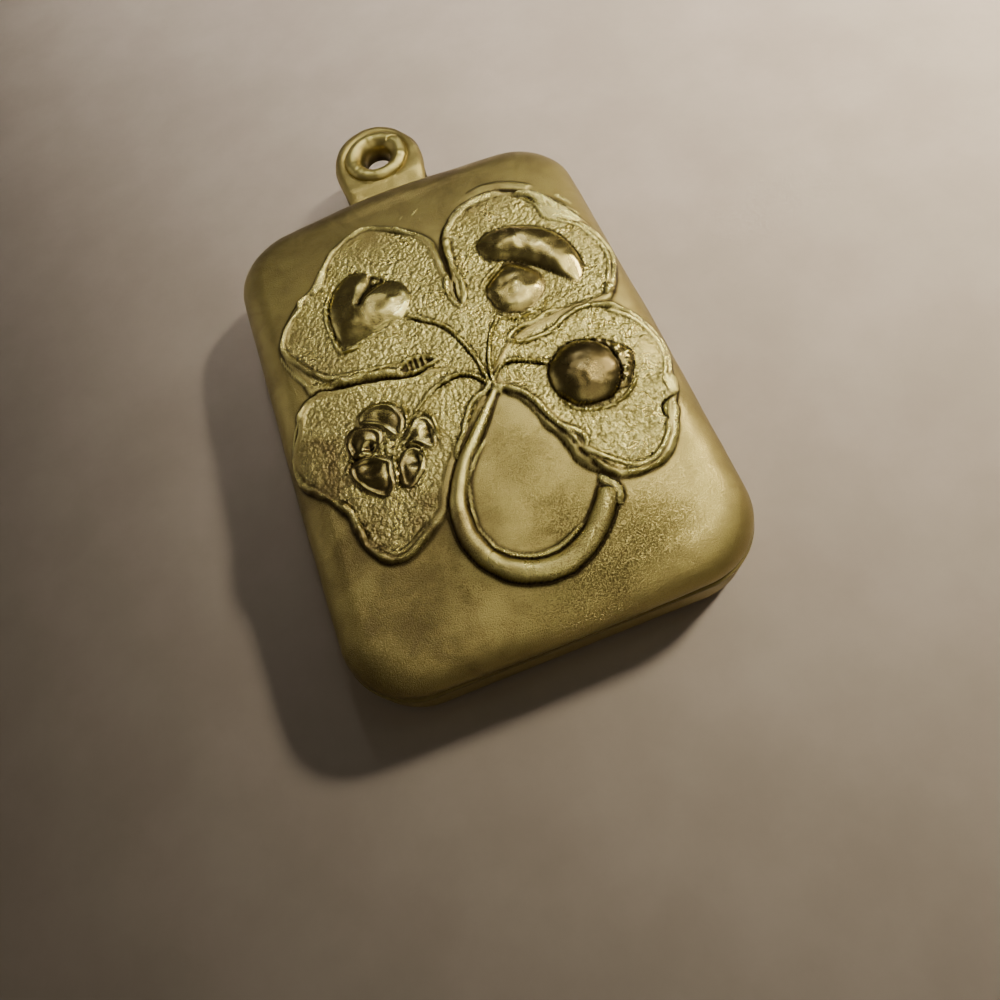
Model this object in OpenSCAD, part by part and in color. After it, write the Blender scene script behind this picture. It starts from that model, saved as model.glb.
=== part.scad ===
// Rectangular brass locket pendant with a four-leaf clover raised on its face.
// Two stamped covers lie edge to edge and swivel about the eyelet at the top.
// X is to the right, Y towards the eyelet, Z out of the decorated face. The origin is
// the middle of the flat back, on the surface that the locket lies on.

/* [Covers] */
// Width of both covers
cover_w = 26; // [25.5:0.5:28]
// Height of both covers, without the ears
cover_h = 36.2; // [35.8:0.2:38]
// Radius of the four upright corners
corner_r = 4.5; // [4:0.1:5]
// Thickness of the sheet brass
sheet_t = 0.5; // [0.4:0.05:0.6]
// Height of the back cover
back_depth = 3.4; // [3.2:0.1:4]
// Rounding between the back cover's wall and its flat back
back_edge_r = 1; // [0.8:0.1:1.5]
// Running gap between the two covers
cover_gap = 0.1; // [0.05:0.01:0.15]
// Height of the front cover's upright wall
front_wall = 0.3; // [0.2:0.05:0.6]
// Rounding of the front cover's shoulder
shoulder_r = 2.4; // [2.2:0.1:2.8]
// Radius of the slight dome of the face
dome_r = 190; // [150:5:250]
// Height of the face's middle above the flat back
face_top = 6.5; // [6.3:0.05:6.8]

/* [Eyelet and ears] */
// How far the eyelet's axis lies to the right of the covers' middle
eyelet_x = 0.15; // [0:0.05:0.3]
// Distance of the eyelet's axis from the middle of the covers, upwards
eyelet_y = 22.85; // [22.4:0.05:23.2]
// Radius of the hole for a cord or jump ring
hole_r = 1.1; // [0.9:0.05:1.3]
// Wall of the eyelet's barrel
barrel_t = 0.35; // [0.3:0.05:0.4]
// Outer radius of the eyelet's flared upper rim
upper_rim_r = 2.55; // [2.4:0.05:2.7]
// Radius of the upper rim's rolled edge
upper_roll_r = 0.42; // [0.36:0.02:0.48]
// Outer radius of the eyelet's lower rim
lower_rim_r = 2.2; // [2:0.05:2.4]
// Height of the lower rim under its ear
lower_rise = 0.27; // [0.2:0.01:0.35]
// Outer radius of the ears
ear_r = 3.5; // [3.3:0.05:3.6]
// Width of the ears where they leave the covers
neck_w = 6.3; // [5.8:0.1:6.4]
// Running clearance of the ears on the eyelet
swivel_gap = 0.05; // [0.03:0.01:0.08]

/* [Relief] */
// Height of the leaves' ground above the face
leaf_rise = 0.15; // [0.1:0.01:0.2]
// Height of the leaves' rims and the stems above the face
rim_rise = 0.35; // [0.3:0.01:0.45]
// Width of the leaves' rims
rim_w = 0.4; // [0.3:0.02:0.5]
// Width of the four thin stems
stem_w = 0.3; // [0.24:0.02:0.4]
// Height of the thick looped stem above the face
loop_rise = 0.7; // [0.5:0.05:0.9]
// Height of the heart and the mushroom's stalk above the face
charm_rise = 1; // [0.8:0.05:1.2]
// Height of the mushroom's cap above the face
cap_rise = 1.15; // [0.9:0.05:1.3]
// Height of the dome above the face
dome_rise = 1.3; // [1:0.05:1.5]
// Height of the flower's petals above the face
petal_rise = 0.75; // [0.6:0.05:0.9]

/* [Hidden] */
$fn = 96;
SMOOTH = 360;
BAR_SIDES = 10;
ARC_STEPS = 12;
// Angle, on the round of the eyelet's rolled edge, where its flared mouth begins
FLARE = 135;
// How far the ears' necks lie inside the ears' round, in width and in height
NECK_INSET = 0.2;
NECK_DROP = 0.35;
// Height above the face to which the relief's plans are raised before they are cut to it
RELIEF_ROOM = 4;
seam_z = back_depth + cover_gap;
shoulder_z = seam_z + front_wall;
flat_top = shoulder_z + shoulder_r;
barrel_r = hole_r + barrel_t;
ear_hole_r = barrel_r + swivel_gap;
back_ear_z = back_depth - sheet_t;
front_ear_z = seam_z + sheet_t;
relief_z = seam_z + sheet_t;
relief_top = face_top + RELIEF_ROOM;
spill = 1;

// Each leaf is a closed outline: every row is [x, y] of a point that its edge passes through
heart_leaf = [
    [1.2, -2.0], [1.4, 3.0], [1.5, 7.6], [1.6, 10.3], [0.9, 12.0], [-0.6, 13.4], [-2.4, 14.3],
    [-4.2, 13.9], [-5.9, 12.8], [-7.3, 11.0], [-8.9, 9.7], [-10.3, 8.2], [-10.9, 6.8],
    [-10.6, 5.2], [-9.9, 3.2], [-8.8, 2.4], [-6.5, 1.7], [-4.0, 1.0], [-1.0, 0.2]];
mushroom_leaf = [
    [1.4, -1.8], [1.3, 3.0], [1.1, 5.2], [1.7, 8.5], [1.9, 10.5], [2.6, 11.7], [3.8, 12.8],
    [5.4, 13.4], [7.0, 13.2], [8.6, 12.2], [10.0, 10.8], [11.0, 9.2], [11.9, 7.4], [12.4, 5.4],
    [12.2, 3.6], [11.2, 1.8], [10.2, 1.2], [7.0, 1.3], [4.0, 0.8], [2.2, -0.6]];
dome_leaf = [
    [1.5, -2.2], [2.4, -1.0], [3.6, 0.3], [5.5, 0.4], [7.2, 0.8], [8.6, 0.95], [10.2, 0.45],
    [11.4, -0.7], [12.1, -2.0], [12.4, -3.5], [12.0, -5.1], [11.4, -6.7], [10.9, -8.0],
    [9.9, -9.7], [8.7, -10.8], [7.4, -11.1], [6.2, -10.9], [5.2, -10.1], [4.3, -8.6],
    [3.6, -6.9], [3.1, -5.3], [2.4, -3.6]];
flower_leaf = [
    [1.1, -2.4], [0.2, -3.7], [-1.2, -5.1], [-2.6, -6.4], [-3.6, -7.9], [-4.1, -9.1],
    [-5.0, -9.6], [-6.0, -10.3], [-7.0, -10.9], [-8.2, -10.7], [-9.4, -9.7], [-10.0, -8.4],
    [-10.3, -6.8], [-10.8, -5.4], [-11.9, -4.2], [-12.4, -2.6], [-12.1, -1.0], [-11.3, 0.4],
    [-10.7, 1.5], [-9.6, 2.1], [-7.5, 1.6], [-5.0, 0.8], [-2.0, 0.2], [0.4, -0.8]];

// Rims, folds and stems are ribbons: every row is [x, y] of a point on the middle line
heart_rim = [
    [1.45, 8.5], [1.45, 10.3], [0.7, 11.9], [-0.7, 13.2], [-2.4, 14.1], [-4.1, 13.7],
    [-5.8, 12.6], [-7.2, 10.8], [-8.8, 9.5], [-10.1, 8.1], [-10.7, 6.8], [-10.4, 5.2],
    [-9.6, 3.6], [-8.4, 2.5], [-6.6, 2.0], [-5.0, 1.55], [-3.9, 1.35]];
mushroom_rim = [
    [1.6, 7.0], [1.85, 8.6], [2.1, 10.4], [2.8, 11.5], [3.9, 12.6], [5.4, 13.2], [7.0, 13.0],
    [8.5, 12.0], [9.9, 10.6], [10.9, 9.0], [11.7, 7.3], [12.1, 5.4], [11.9, 3.7], [11.1, 2.1],
    [10.6, 1.5]];
dome_rim = [
    [6.6, 1.5], [5.2, 1.3], [4.0, 1.1], [3.5, 0.6], [4.1, 0.15], [5.2, 0.0], [6.4, 0.3],
    [7.3, 0.75], [8.6, 0.8], [10.2, 0.3], [11.3, -0.8], [11.95, -2.1], [12.15, -3.5],
    [11.8, -5.0], [11.3, -6.4]];
dome_rim_end = [
    [11.1, -7.0], [10.3, -7.7], [10.1, -8.6], [9.4, -9.8], [8.4, -10.7], [7.3, -10.8],
    [6.2, -10.1], [5.3, -9.1], [4.6, -8.5]];
dome_fold = [
    [1.6, -2.6], [2.5, -3.7], [3.1, -4.9], [3.6, -6.1], [4.2, -7.4], [4.6, -8.6], [5.3, -9.8],
    [6.2, -10.7]];
flower_rim = [
    [-9.6, 2.1], [-10.5, 1.5], [-11.2, 0.3], [-11.9, -1.0], [-12.2, -2.6], [-11.7, -4.1],
    [-10.6, -5.4], [-10.1, -6.8], [-9.8, -8.4], [-9.2, -9.6], [-8.2, -10.5], [-7.1, -10.7],
    [-6.0, -10.1], [-5.1, -9.6], [-4.2, -9.0]];
flower_fold = [[0.8, -2.4], [-0.3, -3.0], [-1.2, -4.1], [-2.0, -5.2], [-2.5, -6.1]];
terrace = [[4.9, 13.8], [6.8, 14.0], [8.3, 13.6], [9.4, 12.9]];
stems = [
    [[1.3, -2.2], [1.1, -0.6], [0.8, 1.2], [0.1, 2.9], [-0.9, 4.3], [-2.1, 5.2]],
    [[1.4, -2.2], [1.6, -0.8], [2.0, 0.4], [2.6, 1.7], [3.4, 2.7]],
    [[1.4, -2.2], [1.9, -1.4], [2.8, -1.05], [3.8, -1.3], [5.0, -2.1]],
    [[1.3, -2.2], [0.7, -1.2], [-0.5, -0.5], [-1.9, -0.7], [-3.0, -1.4], [-3.9, -2.1]]];

// The narrow buds where two leaves turn in
heart_bud = [[-4.2, 1.0], [-3.4, 1.75], [-2.3, 1.75], [-1.4, 1.3], [-2.2, 0.85], [-3.4, 0.7]];
mushroom_bud = [[1.45, 4.0], [1.0, 5.2], [1.2, 6.5], [1.65, 7.5], [2.0, 6.4], [1.95, 5.1]];

// The thick stem that loops down and round: every row is [x, y, half of the stem's width]
loop_stem = [
    [1.0, -2.9, 0.3], [0.1, -4.0, 0.38], [-0.9, -5.1, 0.46], [-1.9, -6.2, 0.54],
    [-2.8, -7.5, 0.6], [-3.35, -9.0, 0.64], [-3.4, -10.6, 0.67], [-2.95, -12.1, 0.72],
    [-2.0, -13.3, 0.78], [-0.6, -14.15, 0.82], [1.0, -14.35, 0.84], [2.6, -13.9, 0.82],
    [3.9, -12.8, 0.76], [4.75, -11.6, 0.66], [5.2, -10.9, 0.5]];

// The four charms, one on each leaf
heart = [
    [-6.8, 4.5], [-7.0, 6.2], [-7.0, 7.9], [-6.6, 9.4], [-5.8, 10.4], [-4.7, 10.5], [-3.9, 9.9],
    [-3.6, 9.0], [-2.7, 8.95], [-1.7, 8.3], [-1.25, 7.1], [-1.5, 6.0], [-2.2, 5.3], [-3.8, 4.8],
    [-5.4, 4.45]];
mushroom_cap = [
    [3.85, 8.5], [4.2, 9.4], [5.0, 9.9], [6.0, 10.0], [7.4, 9.4], [8.6, 8.5], [9.5, 7.3],
    [10.0, 5.6], [10.0, 4.2], [9.1, 2.9], [8.2, 3.7], [7.2, 5.2], [6.0, 6.5], [4.8, 7.2],
    [4.1, 7.7]];
mushroom_stalk = [
    [5.3, 6.7], [4.2, 6.0], [3.4, 5.0], [3.1, 4.0], [3.5, 2.9], [4.3, 2.4], [5.5, 2.1],
    [6.5, 2.8], [7.1, 4.1], [6.9, 5.1], [6.1, 6.2]];
dome_beak = [[8.4, -1.4], [9.6, -2.2], [10.2, -3.2], [9.6, -4.4], [8.6, -5.4], [8.9, -3.4]];
// Every row is [x, y, radius] of a rounded boss
heart_lobes = [[-5.3, 7.9, 2.6], [-3.4, 6.9, 2.5], [-5.9, 6.0, 2.1]];
stalk_boss = [5.1, 4.3, 2.6];
dome_boss = [7.0, -3.6, 2.45];
petals = [
    [-6.1, -1.4, 1.6], [-7.6, -2.3, 1.3], [-7.6, -4.7, 1.7], [-5.1, -4.9, 1.4], [-4.2, -3.3, 1.4]];
flower_heart = [-6.1, -3.3, 0.6];
// The ring that the mushroom's cap is part of, as [x, y, radius], and the radius of its section
cap_ring = [5.4, 4.5, 4.0];
cap_roll_r = 1.75;

// Point at t, from 0 to 1, of the smooth curve through b and c with neighbours a and d
function on_curve(a, b, c, d, t) =
    b + 0.5 * t * (c - a + t * (2 * a - 5 * b + 4 * c - d + t * (3 * b - a - 3 * c + d)));

// Smooth closed curve through the points p, with n steps from one to the next
function closed_curve(p, n = 3) = let (k = len(p))
    [for (i = [0:k - 1], j = [0:n - 1])
        on_curve(p[(i + k - 1) % k], p[i], p[(i + 1) % k], p[(i + 2) % k], j / n)];

// Smooth open curve through the points p, with n steps from one to the next
function open_curve(p, n = 3) = let (k = len(p))
    [for (i = [0:k - 2], j = [0:(i == k - 2 ? n : n - 1)])
        on_curve(p[max(i - 1, 0)], p[i], p[i + 1], p[min(i + 2, k - 1)], j / n)];

// Unit vector across the curve c at its point i, in the plane
function across(c, i) = let (d = c[min(i + 1, len(c) - 1)] - c[max(i - 1, 0)])
    [-d[1], d[0]] / norm([d[0], d[1]]);

// Points of an arc of radius r about c, from angle a to angle b
function arc(c, r, a, b) =
    [for (i = [0:ARC_STEPS]) let (t = a + (b - a) * i / ARC_STEPS) c + r * [cos(t), sin(t)]];

// Outline of a ribbon of width w along the middle line p
function ribbon(p, w) = let (c = open_curve(p), k = len(c)) concat(
    [for (i = [0:k - 1]) c[i] + across(c, i) * w / 2],
    [for (i = [k - 1:-1:0]) c[i] - across(c, i) * w / 2]);

// Height of the domed face at x, y
function face_z(x, y) = face_top - dome_r + sqrt(dome_r * dome_r - x * x - y * y);

// A solid with a rounded rectangle for its plan. The children are the profile of its
// edge, drawn from the axis of a corner, at x = 0, out to the wall.
module rounded_tray(w, h, r, z0, z1) {
    half_w = w / 2 - r;
    half_h = h / 2 - r;
    for (corner = [[1, 1, 0], [-1, 1, 90], [-1, -1, 180], [1, -1, 270]])
        translate([corner[0] * half_w, corner[1] * half_h, 0])
            rotate([0, 0, corner[2]])
                rotate_extrude(angle = 90) children();
    for (side = [[half_w, half_h, 0], [half_h, half_w, 90], [half_w, half_h, 180], [half_h, half_w, 270]])
        rotate([0, 0, side[2]])
            translate([side[0], side[1], 0])
                rotate([90, 0, 0])
                    linear_extrude(height = 2 * side[1]) children();
    translate([-half_w, -half_h, z0]) cube([2 * half_w, 2 * half_h, z1 - z0]);
}

// Profile of an upright wall from z0 to z1 with a round shoulder of radius s over it
module shoulder_profile(r, z0, z1, s) {
    translate([0, z0]) square([r, z1 - z0]);
    translate([0, z0]) square([r - s, z1 + s - z0]);
    intersection() {
        translate([r - s, z1]) circle(s);
        translate([r - s, z1]) square(s);
    }
}

// Profile of a round edge of radius s under an upright wall that ends at z1
module keel_profile(r, z0, z1, s) {
    translate([0, z0 + s]) square([r, z1 - z0 - s]);
    translate([0, z0]) square([r - s, s]);
    intersection() {
        translate([r - s, z0 + s]) circle(s);
        translate([r - s, z0]) square(s);
    }
}

// Outer form of the front cover, from z0 up, with its face raised by rise
module front_form(z0, rise, inset = 0) {
    r = corner_r - inset;
    intersection() {
        rounded_tray(cover_w - 2 * inset, cover_h - 2 * inset, r, z0, flat_top + rise)
            shoulder_profile(r, z0, shoulder_z, shoulder_r + rise);
        translate([0, 0, face_top - dome_r]) sphere(dome_r + rise, $fn = SMOOTH);
    }
}

// Hollow of the front cover, open below
module front_hollow() {
    front_form(seam_z - spill, -sheet_t, inset = sheet_t);
}

// The plan of the children, raised over the face and following its dome
module raised(rise) {
    intersection() {
        front_form(seam_z, rise);
        translate([0, 0, relief_z]) linear_extrude(height = relief_top - relief_z) children();
    }
}

// Cap of a ball that stands height h over the face and meets it at radius b[2]
module boss(b, h) {
    ball_r = (b[2] * b[2] + h * h) / (2 * h);
    translate([b[0], b[1], face_z(b[0], b[1]) + h - ball_r]) sphere(ball_r, $fn = SMOOTH / 2);
}

// The same cap, cut off upright at its edge
module round_boss(b, h) {
    intersection() {
        boss(b, h);
        translate([b[0], b[1], relief_z]) cylinder(r = b[2], h = relief_top - relief_z);
    }
}

// The children cut to the plan of an outline
module within(outline) {
    intersection() {
        translate([0, 0, relief_z])
            linear_extrude(height = relief_top - relief_z)
                polygon(closed_curve(outline, 2));
        union() children();
    }
}

// Thick looped stem: a round bar, half sunk in the face, that follows the face's dome
module looped_stem() {
    path = open_curve(loop_stem, 2);
    rings = len(path);
    widest = max([for (p = path) p[2]]);
    points = [for (i = [0:rings - 1], k = [0:BAR_SIDES - 1])
        let (p = path[i], side = across(path, i) * p[2] * cos(360 * k / BAR_SIDES))
        [p[0] + side[0], p[1] + side[1],
         face_z(p[0], p[1]) + loop_rise * sqrt(p[2] / widest) * sin(360 * k / BAR_SIDES)]];
    walls = [for (i = [0:rings - 2], k = [0:BAR_SIDES - 1])
        let (a = i * BAR_SIDES + k, b = i * BAR_SIDES + (k + 1) % BAR_SIDES)
        each [[b, a, a + BAR_SIDES], [b, a + BAR_SIDES, b + BAR_SIDES]]];
    ends = [[for (k = [0:BAR_SIDES - 1]) k], [for (k = [BAR_SIDES - 1:-1:0]) (rings - 1) * BAR_SIDES + k]];
    polyhedron(points, concat(walls, ends));
}

// Ear of a cover from z up, without its hole: a round plate on a short neck
module ear(z) {
    foot_y = cover_h / 2 - sheet_t / 2;
    neck_top_w = 2 * ear_r - NECK_INSET;
    neck_top_y = eyelet_y - NECK_DROP;
    translate([0, 0, z])
        linear_extrude(height = sheet_t) {
            translate([eyelet_x, eyelet_y]) circle(ear_r);
            polygon([
                [-neck_w / 2, foot_y], [neck_w / 2, foot_y],
                [eyelet_x + neck_top_w / 2, neck_top_y], [eyelet_x - neck_top_w / 2, neck_top_y]]);
        }
}

module ear_hole() {
    translate([eyelet_x, eyelet_y, 0]) cylinder(r = ear_hole_r, h = relief_top);
}

// Grounds of the four leaves
module leaves() {
    raised(leaf_rise)
        for (leaf = [heart_leaf, mushroom_leaf, dome_leaf, flower_leaf])
            polygon(closed_curve(leaf, 2));
}

// Rims, folds, buds and thin stems
module lines() {
    raised(rim_rise) {
        for (rim = [heart_rim, mushroom_rim, dome_rim, dome_rim_end, flower_rim, dome_fold])
            polygon(ribbon(rim, rim_w));
        for (stem = concat(stems, [flower_fold]))
            polygon(ribbon(stem, stem_w));
        for (bud = [heart_bud, mushroom_bud])
            polygon(closed_curve(bud, 2));
        polygon(ribbon(terrace, rim_w));
    }
}

module heart_charm() {
    within(heart)
        for (lobe = heart_lobes)
            boss(lobe, charm_rise);
}

module mushroom_charm() {
    under_cap_z = face_z(cap_ring[0] + cap_ring[2] / 2, cap_ring[1]);
    within(mushroom_cap)
        translate([cap_ring[0], cap_ring[1], under_cap_z + cap_rise - cap_roll_r])
            rotate_extrude($fn = SMOOTH)
                translate([cap_ring[2], 0]) circle(cap_roll_r);
    within(mushroom_stalk)
        boss(stalk_boss, charm_rise);
}

module dome_charm() {
    round_boss(dome_boss, dome_rise);
    raised(dome_rise / 2) polygon(dome_beak);
}

module flower_charm() {
    for (petal = petals)
        round_boss(petal, petal_rise);
    round_boss(flower_heart, petal_rise);
}

module back_cover() {
    color("darkgoldenrod")
        difference() {
            union() {
                rounded_tray(cover_w, cover_h, corner_r, 0, back_depth)
                    keel_profile(corner_r, 0, back_depth, back_edge_r);
                ear(back_ear_z);
            }
            rounded_tray(cover_w - 2 * sheet_t, cover_h - 2 * sheet_t, corner_r - sheet_t,
                         sheet_t, back_depth + spill)
                keel_profile(corner_r - sheet_t, sheet_t, back_depth + spill, back_edge_r - sheet_t);
            ear_hole();
        }
}

module front_cover() {
    color("goldenrod")
        difference() {
            union() {
                front_form(seam_z, 0);
                ear(seam_z);
                leaves();
                lines();
                looped_stem();
                heart_charm();
                mushroom_charm();
                dome_charm();
                flower_charm();
            }
            front_hollow();
            ear_hole();
        }
}

// Section of the eyelet: x is the radius and y the height above the flat back
module eyelet_section() {
    top = front_ear_z + swivel_gap / 2;
    bottom = back_ear_z - swivel_gap / 2;
    roll = [upper_rim_r - upper_roll_r, top];
    lip = arc(roll, upper_roll_r, FLARE, 0)[0];
    foot = [lower_rim_r - lower_rise, bottom];
    polygon(concat(
        [[hole_r, bottom - lower_rise], [hole_r, lip[1] - (lip[0] - hole_r)]],
        arc(roll, upper_roll_r, FLARE, 0),
        [[barrel_r, top], [barrel_r, bottom]],
        arc(foot, lower_rise, 0, -90)));
}

// Hollow rivet: a straight barrel with a flared rim over the ears and a flat one under them
module eyelet() {
    color("gold")
        translate([eyelet_x, eyelet_y, 0])
            rotate_extrude() eyelet_section();
}

back_cover();
front_cover();
eyelet();
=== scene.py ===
"""Looks of a rectangular brass locket pendant with a four-leaf clover raised on its face.

The front cover is modelled as a bent sheet with its relief, and the eyelet as a rolled rivet.
The back cover keeps its CAD solid. Sizes are in millimetres until a mesh is written, in metres.
"""

import logging
import math
from contextlib import contextmanager
from dataclasses import dataclass, field
from enum import Enum
from typing import Callable, Iterator

import bpy
import numpy as np
from mathutils import Matrix, Vector

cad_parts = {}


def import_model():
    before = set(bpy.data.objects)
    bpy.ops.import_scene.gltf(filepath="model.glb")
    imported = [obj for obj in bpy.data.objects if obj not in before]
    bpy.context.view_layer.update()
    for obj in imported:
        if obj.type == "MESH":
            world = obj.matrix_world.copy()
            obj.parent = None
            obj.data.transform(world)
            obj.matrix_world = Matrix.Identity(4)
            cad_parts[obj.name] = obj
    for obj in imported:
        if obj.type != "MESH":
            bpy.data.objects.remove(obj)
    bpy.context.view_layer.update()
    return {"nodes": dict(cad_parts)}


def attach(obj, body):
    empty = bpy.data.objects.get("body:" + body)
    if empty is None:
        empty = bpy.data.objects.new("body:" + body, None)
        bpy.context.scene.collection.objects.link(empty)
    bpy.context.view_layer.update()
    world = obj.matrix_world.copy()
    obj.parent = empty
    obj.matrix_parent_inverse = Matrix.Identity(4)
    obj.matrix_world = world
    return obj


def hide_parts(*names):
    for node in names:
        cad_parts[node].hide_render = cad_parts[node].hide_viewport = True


Array = np.ndarray
Piece = bpy.types.Object
Tree = bpy.types.NodeTree
Socket = bpy.types.NodeSocket

LOG = logging.getLogger("locket")
MM = 0.001
TINY = 1e-9
# Cells of the noise's table, and a shift that keeps its coordinates above 0
LATTICE = 256
NOISE_SHIFT = 1000.0
# Unevenness of the beaten sheet: depth, width and the number of the pattern
BEATEN = ((0.035, 4.2, 11), (0.01, 1.3, 12), (0.004, 0.4, 13))


def smooth(value: Array) -> Array:
    """Smooth step of a value from 0 to 1."""
    t = np.clip(value, 0.0, 1.0)
    return t * t * (3.0 - 2.0 * t)


def unit(vectors: Array) -> Array:
    """Vectors of length 1 along the given ones."""
    return vectors / np.maximum(np.linalg.norm(vectors, axis=-1, keepdims=True), 1e-12)


def neighbours(grid: Array) -> list:
    """The grid shifted by one cell each way."""
    return [np.roll(grid, step, axis) for axis in (0, 1) for step in (1, -1)]


def between(grid: Array, columns: tuple, rows: tuple, a: Array, b: Array) -> Array:
    """Values between two columns and two rows of a grid, at the places a and b from 0 to 1."""
    low, high = (grid[row, columns[0]] * (1 - a) + grid[row, columns[1]] * a for row in rows)
    return low * (1 - b) + high * b


def noise(x: Array, y: Array, cell: float, seed: int) -> Array:
    """Soft noise between -1 and 1.

    Args:
        x: Plan coordinate.
        y: Plan coordinate.
        cell: Size of the noise's cells, in the same unit.
        seed: Number that fixes the pattern.

    Returns:
        The noise at each point.
    """
    values = np.random.default_rng(seed).uniform(-1.0, 1.0, (LATTICE, LATTICE))
    u, v = x / cell + NOISE_SHIFT, y / cell + NOISE_SHIFT
    i, j = np.floor(u).astype(int), np.floor(v).astype(int)
    columns, rows = ((k % LATTICE, (k + 1) % LATTICE) for k in (i, j))
    return between(values, columns, rows, smooth(u - i), smooth(v - j))


def falloff(x: Array, y: Array, spot: list) -> Array:
    """Strength that falls off round a spot, given as its x, y, radius and strength."""
    spot_x, spot_y, radius, strength = spot
    return strength * np.exp(-((x - spot_x) ** 2 + (y - spot_y) ** 2) / (radius * radius))


def curve(rows: list, closed: bool = False, steps: int = 6) -> Array:
    """Smooth curve through the rows of a table.

    Args:
        rows: Points, each with x and y and, in some tables, a factor, which is 1 where it is left out.
        closed: Whether the curve returns to its first point.
        steps: Steps from one row to the next.

    Returns:
        The curve's points, with the table's columns.
    """
    columns = max(len(row) for row in rows)
    p = np.array([[*row, 1.0][:columns] for row in rows], float)
    count = len(p)
    t = (np.arange(steps) / steps)[:, None]
    parts = []
    for i in range(count if closed else count - 1):
        a, b, c, d = p[[k % count if closed else min(max(k, 0), count - 1) for k in range(i - 1, i + 3)]]
        parts.append(b + 0.5 * t * (c - a + t * (2 * a - 5 * b + 4 * c - d + t * (3 * b - a - 3 * c + d))))
    parts.append(p[:1] if closed else p[-1:])
    return np.vstack(parts)


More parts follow.
